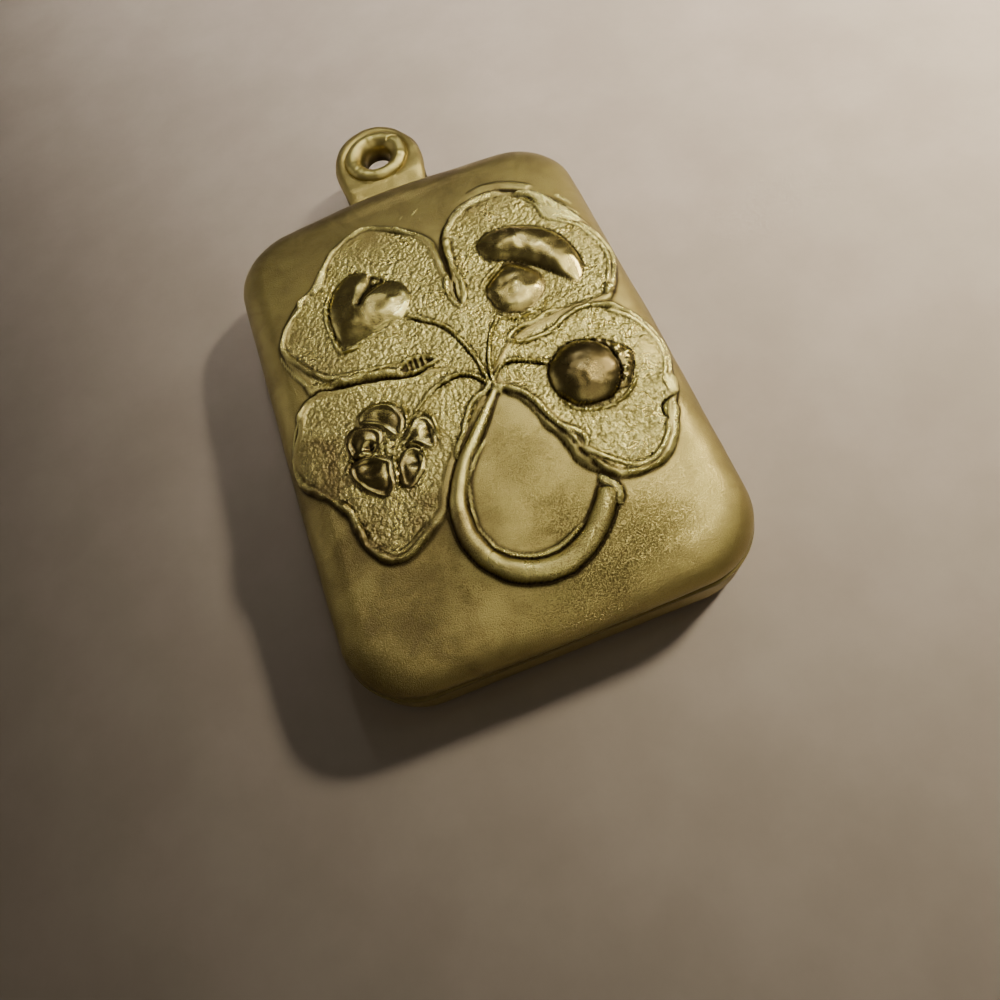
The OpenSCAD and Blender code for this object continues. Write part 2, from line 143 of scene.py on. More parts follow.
@dataclass
class Relief:
    """Height of a relief over the sheet, gathered form by form at points given in mm."""

    x: Array
    y: Array

    def __post_init__(self) -> None:
        """Starts flat, with every mask empty."""
        self.height = np.zeros_like(self.x)
        self.masks = {name: np.zeros_like(self.x) for name in ("ground", "polish", "shade", "bright")}
        self.lift = np.zeros_like(self.x)
        self.sink = np.zeros_like(self.x)
        self.every = np.arange(self.x.size)

    def near(self, path: Array, reach: float = 0.1) -> Array:
        """Indices of the points within reach of the box round a path."""
        low = path[:, :2].min(0) - reach
        high = path[:, :2].max(0) + reach
        inside = (self.x > low[0]) & (self.x < high[0]) & (self.y > low[1]) & (self.y < high[1])
        return np.nonzero(inside)[0]

    def along(self, path: Array, points: Array) -> tuple:
        """Nearest place on a path for the given points.

        Args:
            path: Points of the path, with any further columns.
            points: Indices of the points to look at.

        Returns:
            The distance, the place along the path from 0 to 1, the side (positive to the left)
            and the path's further columns at that place.
        """
        x, y = self.x[points], self.y[points]
        best = np.full(len(points), 1e9)
        place = np.zeros(len(points))
        side = np.ones(len(points))
        extra = np.zeros((len(points), path.shape[1] - 2))
        lengths = np.linalg.norm(np.diff(path[:, :2], axis=0), axis=1)
        total = max(lengths.sum(), TINY)
        start = 0.0
        for a, b, length in zip(path[:-1], path[1:], lengths):
            if length < TINY:
                continue
            d = b[:2] - a[:2]
            t = np.clip(((x - a[0]) * d[0] + (y - a[1]) * d[1]) / (length * length), 0.0, 1.0)
            gap_x, gap_y = x - a[0] - t * d[0], y - a[1] - t * d[1]
            far = gap_x * gap_x + gap_y * gap_y
            nearer = far < best
            best = np.where(nearer, far, best)
            place = np.where(nearer, (start + t * length) / total, place)
            side = np.where(nearer, np.sign(d[0] * gap_y - d[1] * gap_x), side)
            extra = np.where(nearer[:, None], a[2:] + t[:, None] * (b[2:] - a[2:]), extra)
            start += length
        return np.sqrt(best), place, side, extra

    def follow(self, rows: list, width: float) -> tuple:
        """Points beside a line of a table.

        Args:
            rows: Middle line, with a factor as a third column, if any.
            width: Half of the line's width.

        Returns:
            The indices of the points, their distance, their place from 0 to 1 and the factor there.
        """
        path = curve(rows)
        points = self.near(path, width * 2.5)
        distance, place, _, extra = self.along(path, points)
        return points, distance, place, extra[:, 0] if extra.shape[1] else np.ones(len(points))

    def depth_in(self, path: Array, points: Array) -> Array:
        """Distance of points inside a closed path, negative outside it.

        Args:
            path: Closed path.
            points: Indices of the points.

        Returns:
            The depth of each point.
        """
        x, y = self.x[points], self.y[points]
        odd = np.zeros(len(points), bool)
        for a, b in zip(path[:-1], path[1:]):
            if a[1] != b[1]:
                crosses = (a[1] > y) != (b[1] > y)
                odd ^= crosses & (x < (b[0] - a[0]) * (y - a[1]) / (b[1] - a[1]) + a[0])
        distance = self.along(path[:, :2], points)[0]
        return np.where(odd, distance, -distance)

    def within(self, rows: list) -> tuple:
        """Indices of the points near an outline, and their depth inside it."""
        path = curve(rows, closed=True)
        points = self.near(path)
        return points, self.depth_in(path, points)

    def paint(self, name: str, points: Array, value: Array) -> None:
        """Raises a mask to at least the given values."""
        self.masks[name][points] = np.maximum(self.masks[name][points], value)

    def lift_to(self, points: Array, value: Array) -> None:
        """Raises the relief to at least the given heights."""
        self.height[points] = np.maximum(self.height[points], value)

    def cover(self, points: Array, covered: Array) -> None:
        """Takes the pebbled ground away under a form."""
        self.masks["ground"][points] *= 1.0 - covered

    @contextmanager
    def lines(self) -> Iterator[None]:
        """Gathers a layer of lines, which don't add up where they cross, and adds it to the relief."""
        self.lift[:] = 0.0
        self.sink[:] = 0.0
        yield
        self.height += self.lift - self.sink

    def leaf(self, rows: list, rise: float, foot: float) -> None:
        """Raises the ground of a leaf.

        Args:
            rows: Outline of the leaf.
            rise: Height of the ground.
            foot: Width of the slope at its edge.
        """
        points, depth = self.within(rows)
        self.lift_to(points, rise * smooth((depth - 0.05) / foot))
        self.paint("ground", points, smooth((depth - 0.5) / 0.3))

    def bead(self, rows: list, width: float, rise: float, taper: float = 0.06, mask: str = "bright",
             power: float = 1.0, ragged: float = 1.0) -> None:
        """Raises a rounded line over what is there.

        Args:
            rows: Middle line, with a factor on the width and height as a third column, if any.
            width: Half of the line's width.
            rise: Height over what is there.
            taper: Part of the length over which either end dies away.
            mask: Name of the mask that the line is painted in.
            power: Roundness of the section: 1 is soft, 0.5 is a round bar.
            ragged: How uneven the line is.
        """
        points, distance, place, factor = self.follow(rows, width)
        ends = smooth(np.minimum(place, 1.0 - place) / taper) if taper else 1.0
        x, y = self.x[points], self.y[points]
        uneven = 1.0 + 0.3 * ragged * noise(x, y, 0.6, 73)
        half = np.maximum(width * factor * (0.45 + 0.55 * ends) * uneven, 1e-3)
        section = np.clip(1.0 - (distance / half) ** 2, 0.0, 1.0) ** power
        lift = rise * factor * ends * section * (1.0 + 0.35 * ragged * noise(x, y, 0.45, 74))
        self.lift[points] = np.maximum(self.lift[points], lift)
        self.paint(mask, points, smooth(section * 1.5) * ends)
        self.cover(points, smooth(section * 2.0))

    def beads(self, group: list, width: float, rise: float) -> None:
        """Raises each line of a group."""
        for rows in group:
            self.bead(rows, width, rise)

    def groove(self, rows: list, width: float, depth: float, shade: float = 0.7) -> None:
        """Sinks a narrow line into what is there and paints shade into it.

        Args:
            rows: Middle line, with a factor as a third column, if any.
            width: Half of the line's width.
            depth: Depth of the line.
            shade: How dark the line's painted shade is, from 0 to 1.
        """
        points, distance, place, factor = self.follow(rows, width)
        ends = smooth(np.minimum(place, 1.0 - place) / 0.08)
        section = smooth(1.0 - distance / np.maximum(width * factor, 1e-3))
        self.sink[points] = np.maximum(self.sink[points], depth * factor * ends * section)
        self.paint("shade", points, shade * ends * smooth(1.3 * section))

    def swell(self, rows: list, rise: float, fullness: float = 0.5, base: float = 0.0,
              mask: str = "polish") -> None:
        """Raises a form like a blown cushion over its outline.

        Args:
            rows: Outline of the form.
            rise: Height of its top.
            fullness: Power of the section: 0.5 is a full cushion, 1 is a soft mound.
            base: Height that the cushion starts from, over the face.
            mask: Name of the mask that the form is painted in.
        """
        path = curve(rows, closed=True)
        points = self.near(path)
        level = Cushion(path).at(self.x[points], self.y[points])
        form = base + rise * np.power(np.maximum(level, 0.0), fullness)
        self.lift_to(points, np.where(level > 0.0, form, 0.0))
        covered = smooth(level * 14.0)
        self.paint(mask, points, covered)
        self.cover(points, covered)

    def gleam(self, rows: list, body: float, edge: float, dish: float = 0.0) -> None:
        """Paints a highlight on a form, most at its edge, and dishes its middle.

        Args:
            rows: Outline of the form.
            body: How bright its middle is, from 0 to 1.
            edge: How bright its edge is, from 0 to 1.
            dish: Depth of the dish within the edge.
        """
        points, depth = self.within(rows)
        inner = smooth((depth - 0.16) / 0.3)
        self.paint("bright", points, smooth(depth / 0.08) * (edge + (body - edge) * inner))
        self.height[points] -= dish * inner

    def dent(self, rows: list, size: float, cell: float, seed: int) -> None:
        """Beats a form uneven.

        Args:
            rows: Outline of the form.
            size: Depth of the dents.
            cell: Width of the dents.
            seed: Number that fixes the pattern.
        """
        points, depth = self.within(rows)
        x, y = self.x[points], self.y[points]
        beaten = size * noise(x, y, cell, seed) + 0.3 * size * noise(x, y, cell / 2.5, seed + 1)
        self.height[points] += smooth(depth / 0.5) * beaten

    def press(self, rows: list, wide: float = 1.0, deep: float = 1.0) -> None:
        """Presses round hollows in, or raises bosses where the depth is negative.

        Args:
            rows: Rows of x, y, radius and depth.
            wide: Factor on the radius.
            deep: Factor on the depth.
        """
        for x, y, radius, depth in rows:
            distance = np.hypot(self.x - x, self.y - y)
            self.height -= deep * depth * smooth(1.0 - distance / (wide * radius))


class Cushion:
    """Level of a membrane blown up over a closed outline, on a small grid."""

    CELL = 0.08
    MARGIN = 3 * CELL
    ROUNDS = 1500

    def __init__(self, path: Array) -> None:
        """Solves the membrane.

        Args:
            path: Closed outline.
        """
        self.low = path[:, :2].min(0) - self.MARGIN
        size = path[:, :2].max(0) + self.MARGIN - self.low
        self.shape = (int(size[1] / self.CELL) + 1, int(size[0] / self.CELL) + 1)
        rows, columns = np.mgrid[0:self.shape[0], 0:self.shape[1]]
        grid = Relief((self.low[0] + columns * self.CELL).ravel(), (self.low[1] + rows * self.CELL).ravel())
        depth = grid.depth_in(path, grid.every).reshape(self.shape)
        level = np.clip(depth, 0.0, 2.0)
        for _ in range(self.ROUNDS):
            level = np.where(depth > 0.0, 0.25 * sum(neighbours(level)) + self.CELL * self.CELL, 0.0)
        self.level = level / max(level.max(), TINY)

    def at(self, x: Array, y: Array) -> Array:
        """Level of the membrane, from 0 to 1, at the given points."""
        u = np.clip((x - self.low[0]) / self.CELL, 0, self.shape[1] - 1.001)
        v = np.clip((y - self.low[1]) / self.CELL, 0, self.shape[0] - 1.001)
        i, j = u.astype(int), v.astype(int)
        return between(self.level, (i, i + 1), (j, j + 1), u - i, v - j)


# Leaves: x and y of the outline, in mm on the face, from its middle
HEART_LEAF = [
    [2, -2.6], [2.1, 2], [1.8, 5], [1.6, 7.6], [1.6, 10], [0.95, 11.8], [-0.5, 13.2], [-2.2, 14.25],
    [-4.2, 14.15], [-5.7, 13.25], [-7.3, 11.25], [-8.9, 10.05], [-10.2, 8.6], [-10.95, 7], [-10.85, 5.5],
    [-10.15, 3.4], [-9.7, 2.1], [-7.7, 1.45], [-5.46, 0.95], [-3.5, 0.45], [-1, -0.4]]
MUSHROOM_LEAF = [
    [0.4, -2.6], [0.4, 2], [0.9, 5], [1.65, 8.5], [1.9, 10.5], [2.5, 11.6], [3.7, 12.75], [5.4, 13.25],
    [7, 13.1], [8.6, 12.2], [10, 10.8], [11, 9.2], [11.9, 7.4], [12.35, 5.4], [12.2, 3.6], [11.3, 1.7],
    [10.2, 0.7], [7, 0.7], [4, 0.1], [2.2, -1.4]]
DOME_LEAF = [
    [1.3, -2.2], [1.8, -0.6], [3.4, 0.9], [5.5, 1.2], [7.2, 1.5], [8.8, 1.4], [10.2, 0.8], [11.4, -0.6],
    [12.1, -2], [12.4, -3.5], [12.1, -5.1], [11.6, -6.7], [11, -8], [10, -9.8], [8.8, -10.9], [7.4, -11.15],
    [6.2, -10.9], [5.2, -10], [4.6, -8.6], [4, -6.9], [3.4, -5.3], [2.6, -3.6]]
FLOWER_LEAF = [
    [1.1, -2.4], [0.2, -3.7], [-1.2, -5.1], [-2.6, -6.4], [-3.5, -7.9], [-4, -8.9], [-5, -9.6], [-6, -10.3],
    [-7, -10.8], [-8.2, -10.6], [-9.2, -9.7], [-9.7, -8.4], [-9.9, -6.8], [-10.6, -5.5], [-11.8, -4.2],
    [-12.35, -2.6], [-12.1, -1], [-11.3, 0.4], [-10.9, 1.5], [-9.9, 2.3], [-7.6, 2.3], [-5, 1.7], [-2, 1],
    [1, 0.2], [1.6, -1.6]]

# Rims and folds of the leaves: x, y and a factor on the width and height, 1 where it is left out
HEART_RIM = [
    [1.35, 9, 0.5], [1.3, 10.6, 0.6], [0.8, 11.6, 0.7], [0, 12.3, 0.9], [-0.7, 12.95, 1.2],
    [-1.8, 13.65, 0.8], [-2.5, 13.98], [-3.3, 14.02, 1.1], [-4.1, 13.75], [-4.7, 13.4, 0.7], [-5.3, 13.05],
    [-6, 12.4, 1.1], [-6.6, 11.5, 1.5], [-7.2, 10.7, 1.3], [-8, 10.25, 0.4], [-8.6, 9.95, 1.2],
    [-8.8, 9.3, 0.8], [-9.8, 8.45, 0.7], [-10.4, 7.65], [-10.65, 6.75, 1.1], [-10.4, 5.85], [-9.8, 4.8],
    [-9.1, 3.7, 1.1], [-8.2, 2.95, 0.9], [-7.3, 2.62, 0.8], [-6.1, 2.4, 0.7], [-4.8, 2.2, 0.7],
    [-3.6, 1.9, 0.6]]
HEART_PATCH = [[-6.3, 12, 0.6], [-6.75, 11.2, 1.2], [-7.2, 10.5, 1.2], [-7.7, 10.1, 0.6]]
HEART_FOLD = [
    [-8.3, 2.45, 0.5], [-7.65, 2.3, 1.2], [-7, 2.12], [-6.1, 2.02, 1.1], [-5.2, 1.8, 1.2],
    [-4.3, 1.45, 1.1], [-3.6, 1.15, 0.8]]
HEART_GAP = [
    [-10.1, 2.3, 1.2], [-9.6, 2.28, 1.2], [-9, 2.3, 0.9], [-8, 2], [-7.3, 1.82], [-6.4, 1.62, 0.9],
    [-5.4, 1.4], [-4.4, 1.08], [-3.5, 0.78], [-2.5, 0.7, 0.9], [-1.6, 0.85, 0.6]]
MUSHROOM_RIM_LEFT = [
    [1.55, 4.3, 0.8], [2, 5.3, 0.9], [2.15, 6.6, 0.8], [2.05, 7.8, 0.8], [2.1, 8.8, 1.3], [2.25, 9.8, 1.5],
    [2.4, 10.4, 0.9]]
MUSHROOM_RIM_TOP = [
    [2.4, 10.75, 0.6], [2.75, 11.2, 0.9], [3.2, 11.7, 0.9], [3.7, 12.1, 1.2], [4.3, 12.5, 1.1],
    [5.2, 12.8, 1.2], [6.3, 12.85, 1.1], [7.35, 12.55, 0.9]]
MUSHROOM_SHADE = [
    [1.6, 6.6, 0.8], [1.66, 8], [1.75, 9.4, 1.1], [2.1, 10.8], [2.7, 11.7, 0.9], [3.6, 12.6, 0.8],
    [4.6, 13.15, 0.7], [6, 13.35, 0.8], [7.4, 13.05], [8.5, 12.4], [9.3, 11.65, 0.9]]
TERRACE = [
    [4.6, 13.65, 0.6], [5.6, 13.95, 0.9], [6.9, 13.95], [8.1, 13.45], [9.1, 12.75, 1.1], [9.45, 12.3, 0.8]]
MUSHROOM_RIM_RIGHT = [
    [10.9, 7.7, 0.8], [11.4, 7], [11.85, 6.1], [12.1, 5], [12, 4.1], [11.65, 3, 0.9], [11.1, 2, 0.8]]
MUSHROOM_RIM_FINE = [
    [9.3, 8.9, 0.7], [10, 8.3, 0.8], [10.75, 7.6, 0.9], [11.1, 7, 0.9], [11.5, 6.1], [11.75, 5.1],
    [11.65, 4.1], [11.3, 3.1, 0.9], [10.8, 2.2, 0.7]]
MUSHROOM_CURL = [[10.4, 1.3, 0.8], [10.75, 1.7, 1.3], [10.9, 1.4]]
MUSHROOM_BUD = [[1.5, 4.15, 0.8], [1.1, 5], [0.98, 5.8], [1.15, 6.7], [1.5, 7.4, 0.8]]
BUD_SLIT = [[1.5, 4.8, 0.7], [1.48, 5.6, 1.2], [1.6, 6.6, 0.7]]
DOME_TIP = [
    [7.4, 1.4, 0.8], [6.5, 1.5, 0.9], [5.6, 1.22, 0.9], [4.6, 1.22], [3.8, 1], [3.45, 0.6], [3.8, 0.2],
    [4.5, 0], [5.3, -0.02], [6.2, 0.15], [6.9, 0.45], [7.6, 0.8], [8.4, 0.88], [9.3, 0.75, 0.9],
    [10.1, 0.4, 1.3], [10.5, 0.1, 1.3], [11, -0.4, 0.9], [11.6, -1.2], [12, -2.1], [12.25, -3.1, 1.1],
    [12.17, -4.2], [11.8, -5.1, 0.9], [11.4, -5.8, 0.7]]
DOME_RIM_FINE = [
    [9.7, 0.15, 0.7], [10.3, -0.2], [10.9, -0.85], [11.4, -1.6], [11.72, -2.5], [11.9, -3.4], [11.8, -4.3],
    [11.4, -5.2, 0.9], [11.05, -5.8, 0.7]]
DOME_CRACK = [[11.25, -6.94, 0.8], [10.7, -7.2], [10.2, -7.5, 1.1], [10.08, -8], [10.3, -8.5, 0.6]]
DOME_RIM_LOW = [
    [11.1, -7.3, 0.9], [10.95, -7.9], [10.5, -8.8, 0.9], [10, -9.65], [9.3, -10.4], [8.3, -10.85],
    [7.25, -10.85], [6.3, -10.5, 0.9]]
DOME_RIM_LOW_FINE = [
    [10.15, -8.5, 0.8], [9.6, -9.4], [8.95, -10.05], [7.95, -10.5], [6.94, -10.25], [6, -9.5],
    [5.45, -8.94], [5, -8.5, 1.1], [4.8, -8.2, 0.8]]
DOME_CREST = [
    [1.6, -2.45, 0.8], [1.94, -2.6, 0.8], [2.56, -3, 0.9], [3.1, -3.7], [3.5, -4.56], [3.73, -5.5],
    [4.2, -6.44, 1.2], [4.75, -7.06, 1.3], [5.1, -7.5, 1.2], [5.14, -8, 1.1], [4.83, -8.3, 0.9]]
DOME_FLANK = [
    [1.7, -2.6, 0.4], [2.1, -2.95, 0.5], [2.8, -3.9, 0.55], [3.2, -4.9, 0.5], [3.5, -5.95, 0.7],
    [3.97, -6.9, 1.1], [4.36, -7.7, 1.5], [4.3, -8.5], [4.75, -9.2, 1.25], [5.3, -9.8], [6.2, -10.75, 0.6]]
FLOWER_RIM = [
    [-9.9, 2, 0.4], [-10.8, 1.3, 0.8], [-11.1, 0.7, 0.5], [-11.6, 0.1, 0.4], [-12, -1, 0.5],
    [-12.1, -2.1, 0.7], [-11.95, -3.05], [-11.6, -3.8, 1.1], [-10.9, -4.6, 0.7], [-10.3, -5.4, 0.8],
    [-9.75, -6.1, 1.4], [-9.4, -6.9, 0.9], [-9.3, -7.6, 1.3], [-9.2, -8.3, 1.2], [-9.2, -8.9, 0.8],
    [-8.85, -9.45], [-8.45, -10, 1.3], [-7.7, -10.45], [-6.75, -10.35], [-5.95, -9.9, 1.1], [-5.1, -9.4],
    [-4.2, -9.1, 0.7]]
FLOWER_RIM_FINE = [
    [-8.5, -9.2, 0.8], [-8.2, -9.7], [-7.6, -10.05], [-6.8, -9.95, 0.9], [-6, -9.5, 0.7],
    [-5.3, -9.15, 0.6]]
FLOWER_SLIVER = [
    [-2.5, -6.2, 0.6], [-2.05, -5.2], [-1.5, -4.55], [-1.1, -3.8], [-0.6, -3.1], [0, -2.6],
    [0.7, -2.35, 0.9], [1.2, -2.3, 0.7]]

# Stems, loop and lines of the charms, with the same columns
STEM_TO_HEART = [
    [1.35, -2.2], [1.15, -1.2], [1.05, -0.2], [0.9, 0.8], [0.6, 1.8], [0.2, 2.8], [-0.4, 3.7], [-1.2, 4.5],
    [-2.1, 5.2, 1.1]]
STEM_TO_MUSHROOM = [[1.4, -2.2], [1.6, -0.8], [1.9, 0.2], [2.3, 1.1], [2.8, 1.9], [3.45, 2.65, 1.1]]
STEM_TO_DOME = [
    [1.4, -2.3], [1.55, -1.75], [2.25, -1.12], [3.05, -0.98], [4, -1.36], [4.6, -1.75], [5.1, -2.15, 1.1]]
STEM_TO_FLOWER = [
    [1.3, -2.2], [0.8, -1.4, 1.1], [0.2, -0.8, 1.2], [-0.6, -0.5, 1.2], [-1.5, -0.6, 1.1], [-2.4, -0.95],
    [-3.2, -1.5], [-3.9, -2]]
KNOT_OF_STEMS = [[0.9, -2], [1.3, -2.35, 1.2], [1.8, -2.6]]
LOOP = [
    [1.25, -2.5, 0.36], [0.55, -3.3, 0.5], [-0.35, -4.4, 0.62], [-1.3, -5.45, 0.72], [-2.25, -6.55, 0.8],
    [-2.95, -7.8, 0.9], [-3.4, -9.2, 0.96], [-3.4, -10.7, 0.98], [-2.95, -12.1], [-2, -13.3, 1.04],
    [-0.6, -14.1, 1.08], [1, -14.3, 1.1], [2.6, -13.75, 1.08], [3.9, -12.75, 1.04], [4.7, -11.8],
    [5.15, -11, 0.9]]
LOOP_LEDGE = [
    [-0.2, -5.15, 0.7], [-1.7, -6.7], [-2.35, -7.8], [-2.75, -9.8], [-2.65, -10.9], [-2.3, -11.7],
    [-1.6, -12.5], [-0.8, -13.05], [0.2, -13.35], [1.2, -13.3], [2.2, -12.9], [3.2, -12.3, 0.8]]
POD_EDGE = [
    [-3.9, 1.35, 0.8], [-3.2, 1.8], [-2.5, 1.93], [-1.77, 1.62], [-1.3, 1.22], [-1.95, 0.93], [-2.84, 0.88],
    [-3.5, 1.05, 0.8]]
HEART_CREASE = [[-3, 9.5, 1.2], [-3.5, 9, 1.2], [-4.1, 8.4], [-4.6, 7.8, 0.7], [-4.9, 7.2, 0.4]]
HEART_BAND = [[-1.75, 7.7, 0.6], [-1.6, 6.8], [-2, 5.9], [-2.9, 5.3], [-4.1, 5, 0.9], [-5.3, 4.85, 0.6]]
HEART_LINE = [
    [-6.3, 9.8, 0.7], [-6.85, 8.9], [-7.2, 7.8], [-7.3, 6.6], [-7.2, 5.4], [-6.95, 4.5], [-6.6, 4.3],
    [-5.4, 4.4, 0.7]]
DOME_SEAM = [[7.9, -1.6, 0.8], [8.5, -2.2], [8.85, -3], [8.9, -3.8], [8.75, -4.7], [8.55, -5.3, 0.7]]
DOME_LINE = [
    [4.7, -4.7, 0.7], [4.95, -5.15], [5.45, -5.75], [6.2, -6.2], [7.2, -6.35], [8.2, -6.15], [9.1, -5.7],
    [9.6, -5.1, 0.6]]

# Groups of fine lines, with the same columns
LEAF_VEINS = [
    [[-9.9, 3.1, 0.8], [-9.2, 2.75], [-8.2, 2.6, 0.8]], [[-11, 6.4, 0.6], [-10.75, 5.2], [-10.3, 4.1],
    [-9.8, 3, 0.8]]]
FACET_LINES = [
    [[8.2, 11.7, 0.7], [8.85, 10.8], [9.08, 9.9], [9.1, 9, 0.8]], [[9.3, 11.55, 0.7], [10.05, 10.7],
    [10.75, 9.5], [11.4, 8.3, 0.8]]]
OUTER_RIDGES = [
    [[9.7, 11.3, 0.7], [10.4, 10.3], [11.1, 9.2], [11.6, 8.5, 0.7]], [[10.7, 11, 0.6], [11.1, 10.3, 0.8],
    [11.4, 9.7, 0.6]]]
SCRATCH_BEADS = [
    [[0.85, 13.85, 0.7], [1.1, 14.1], [1.35, 14.2, 0.7]], [[-0.1, 13.9, 0.7], [0.2, 14.2, 0.9]]]
LOOP_TIP_LINES = [
    [[4.95, -10.2, 0.8], [5.05, -10.9], [5.1, -11.8, 0.9]], [[5, -10.2, 0.8], [5.5, -10.75], [5.8, -11.4],
    [5.6, -12, 0.8]]]
STALK_LINES = [
    [[5, 6.6, 0.8], [4.3, 6.1], [3.6, 5.6], [3.1, 5.1, 0.6]], [[3.35, 2.6, 0.7], [4.2, 2], [5.3, 1.82],
    [6.3, 2.02], [6.95, 2.6, 0.8]]]
PETAL_FOLDS = [
    [[-4.45, -1, 0.8], [-4.32, -1.9], [-4.6, -2.7, 0.8]], [[-5.9, -4.1, 0.8], [-6.05, -4.9], [-6.2, -5.7],
    [-6.3, -6.4, 0.8]], [[-5.3, -4, 0.7], [-4.7, -3.9], [-4.1, -4.5], [-4.05, -5.2, 0.8]], [[-4, -2.2, 0.7],
    [-3.1, -2.3], [-2.85, -3.2], [-3, -4.3, 0.8]], [[-9, -4.1, 0.7], [-8.6, -3.4], [-7.8, -3.3, 0.8]]]

# Small forms and charms: x and y of the outline
POD = [
    [-3.74, 1.4], [-3.2, 1.75], [-2.5, 1.88], [-1.77, 1.57], [-1.4, 1.25], [-1.95, 1], [-2.84, 0.95],
    [-3.47, 1.1]]
MUSHROOM_FACET = [
    [7.84, 12], [8.35, 11.7], [8.95, 10.86], [9.2, 9.06], [9.9, 8.44], [10.8, 7.8], [11.3, 7.97],
    [10.7, 9.4], [9.95, 10.8], [9.25, 11.64], [8.4, 12.2]]
DOME_FACET = [[11, -5.8], [11.75, -5.75], [11.4, -6.9], [11, -6.7]]
LOOP_TIP = [[4.95, -10.15], [5.5, -10.7], [5.85, -11.4], [5.5, -12.15], [5.15, -12.2], [5.2, -11.3]]
HEART = [
    [-6.75, 4.6], [-7, 5.5], [-7.05, 6.6], [-6.98, 7.8], [-6.6, 8.95], [-6.06, 9.75], [-5.34, 10.25],
    [-4.6, 10.42], [-3.95, 10.22], [-3.5, 9.75], [-3.3, 9.1], [-2.7, 8.75], [-2, 8.4], [-1.5, 7.85],
    [-1.32, 7.2], [-1.42, 6.4], [-1.8, 5.75], [-2.35, 5.25], [-3.4, 5], [-4.6, 4.82], [-5.7, 4.62]]
CAP = [
    [3.9, 8], [3.9, 8.5], [4.15, 8.95], [4.6, 9.3], [5.2, 9.45], [5.9, 9.45], [6.7, 9.35], [7.45, 9.05],
    [8.2, 8.6], [8.9, 8], [9.45, 7.3], [9.8, 6.5], [9.98, 5.55], [10.02, 4.6], [9.85, 3.7], [9.48, 3.05],
    [9.06, 2.7], [8.78, 2.85], [8.47, 3.3], [8.16, 3.83], [7.69, 4.5], [7.22, 5.1], [6.75, 5.57], [6.28, 6],
    [5.66, 6.4], [5.1, 6.65], [4.56, 6.85], [4.17, 7.25]]
STALK = [
    [5.27, 6.5], [4.72, 6], [4.1, 5.6], [3.55, 5.1], [3.25, 4.5], [3.2, 3.85], [3.32, 3.28], [3.65, 2.75],
    [4.3, 2.35], [5.2, 2.15], [5.97, 2.3], [6.6, 2.75], [7.05, 3.44], [7.2, 4.06], [7.05, 4.7], [6.7, 5.3],
    [6.28, 5.86], [5.8, 6.3]]
DOME_CUP = [
    [7.9, -1.5], [8.5, -1.7], [9.05, -2.1], [9.5, -2.6], [9.95, -3.05], [10.15, -3.45], [10, -3.95],
    [9.7, -4.6], [9.25, -5.25], [8.7, -5.6], [8, -5.2], [8, -2.2]]
PETAL_TOP = [
    [-7.45, -1.05], [-7.2, -0.5], [-6.43, -0.2], [-5.62, -0.28], [-5, -0.7], [-4.62, -1.3], [-4.55, -2.08],
    [-4.97, -2.88], [-5.46, -2.96], [-5.94, -2.35], [-6.43, -1.75], [-7.07, -1.4]]
PETAL_LEFT = [
    [-7.47, -1.35], [-8.15, -1.55], [-8.55, -2.1], [-8.58, -2.9], [-8.36, -3.35], [-7.4, -3.45],
    [-6.75, -3.4], [-6.26, -2.95], [-6.2, -2.15], [-6.65, -1.6]]
PETAL_HEART = [
    [-8.85, -4.05], [-8.65, -3.6], [-7.9, -3.45], [-7.07, -3.6], [-6.43, -4], [-6.1, -4.4], [-6.26, -5.2],
    [-6.43, -6.1], [-7, -6.6], [-7.55, -6.4], [-8.2, -5.8], [-8.76, -4.9]]
PETAL_LOW = [
    [-5.6, -4.4], [-5.1, -4.05], [-4.5, -4.1], [-4.12, -4.7], [-4.15, -5.3], [-4.65, -6.05], [-5.46, -6.55],
    [-6.05, -6.35], [-6.1, -5.7], [-5.94, -5]]
PETAL_RIGHT = [
    [-5.3, -3.55], [-4.8, -3], [-4.2, -2.35], [-3.7, -2.2], [-3.15, -2.5], [-2.98, -3.2], [-3.06, -4.1],
    [-3.44, -4.7], [-4, -4.4], [-4.5, -3.9], [-5, -3.95]]

# Outline of the front ear and its neck
EAR_EDGE = [
    [0.1, 26.33], [1.3, 26.1], [2.3, 25.4], [3, 24.4], [3.45, 23.35], [3.62, 22.3], [3.55, 21.3],
    [3.35, 20.3], [3.1, 19.4], [2.98, 18.6], [2.95, 17.8], [1.5, 17.76], [0, 17.76], [-1.5, 17.76],
    [-2.9, 17.8], [-2.95, 18.6], [-3.05, 19.4], [-3.2, 20.5], [-3.3, 21.6], [-3.33, 22.6], [-3.2, 23.6],
    [-2.8, 24.6], [-2.1, 25.5], [-1.1, 26.12]]

# Ribs of the pod: x
POD_RIBS = (-3.15, -2.8, -2.45, -2.12)

# Middle and radius of the dome
DOME = (6.92, -3.62, 2.36)

# Knobs on the dome's cup: x and y
KNOBS = [
    [7.9, -1.45], [8.5, -1.8], [8.85, -2.25], [9.4, -2.7], [9.75, -3.4], [9.5, -4], [9.1, -4.4],
    [9.05, -3.3], [8.95, -5], [9.1, -2.9]]

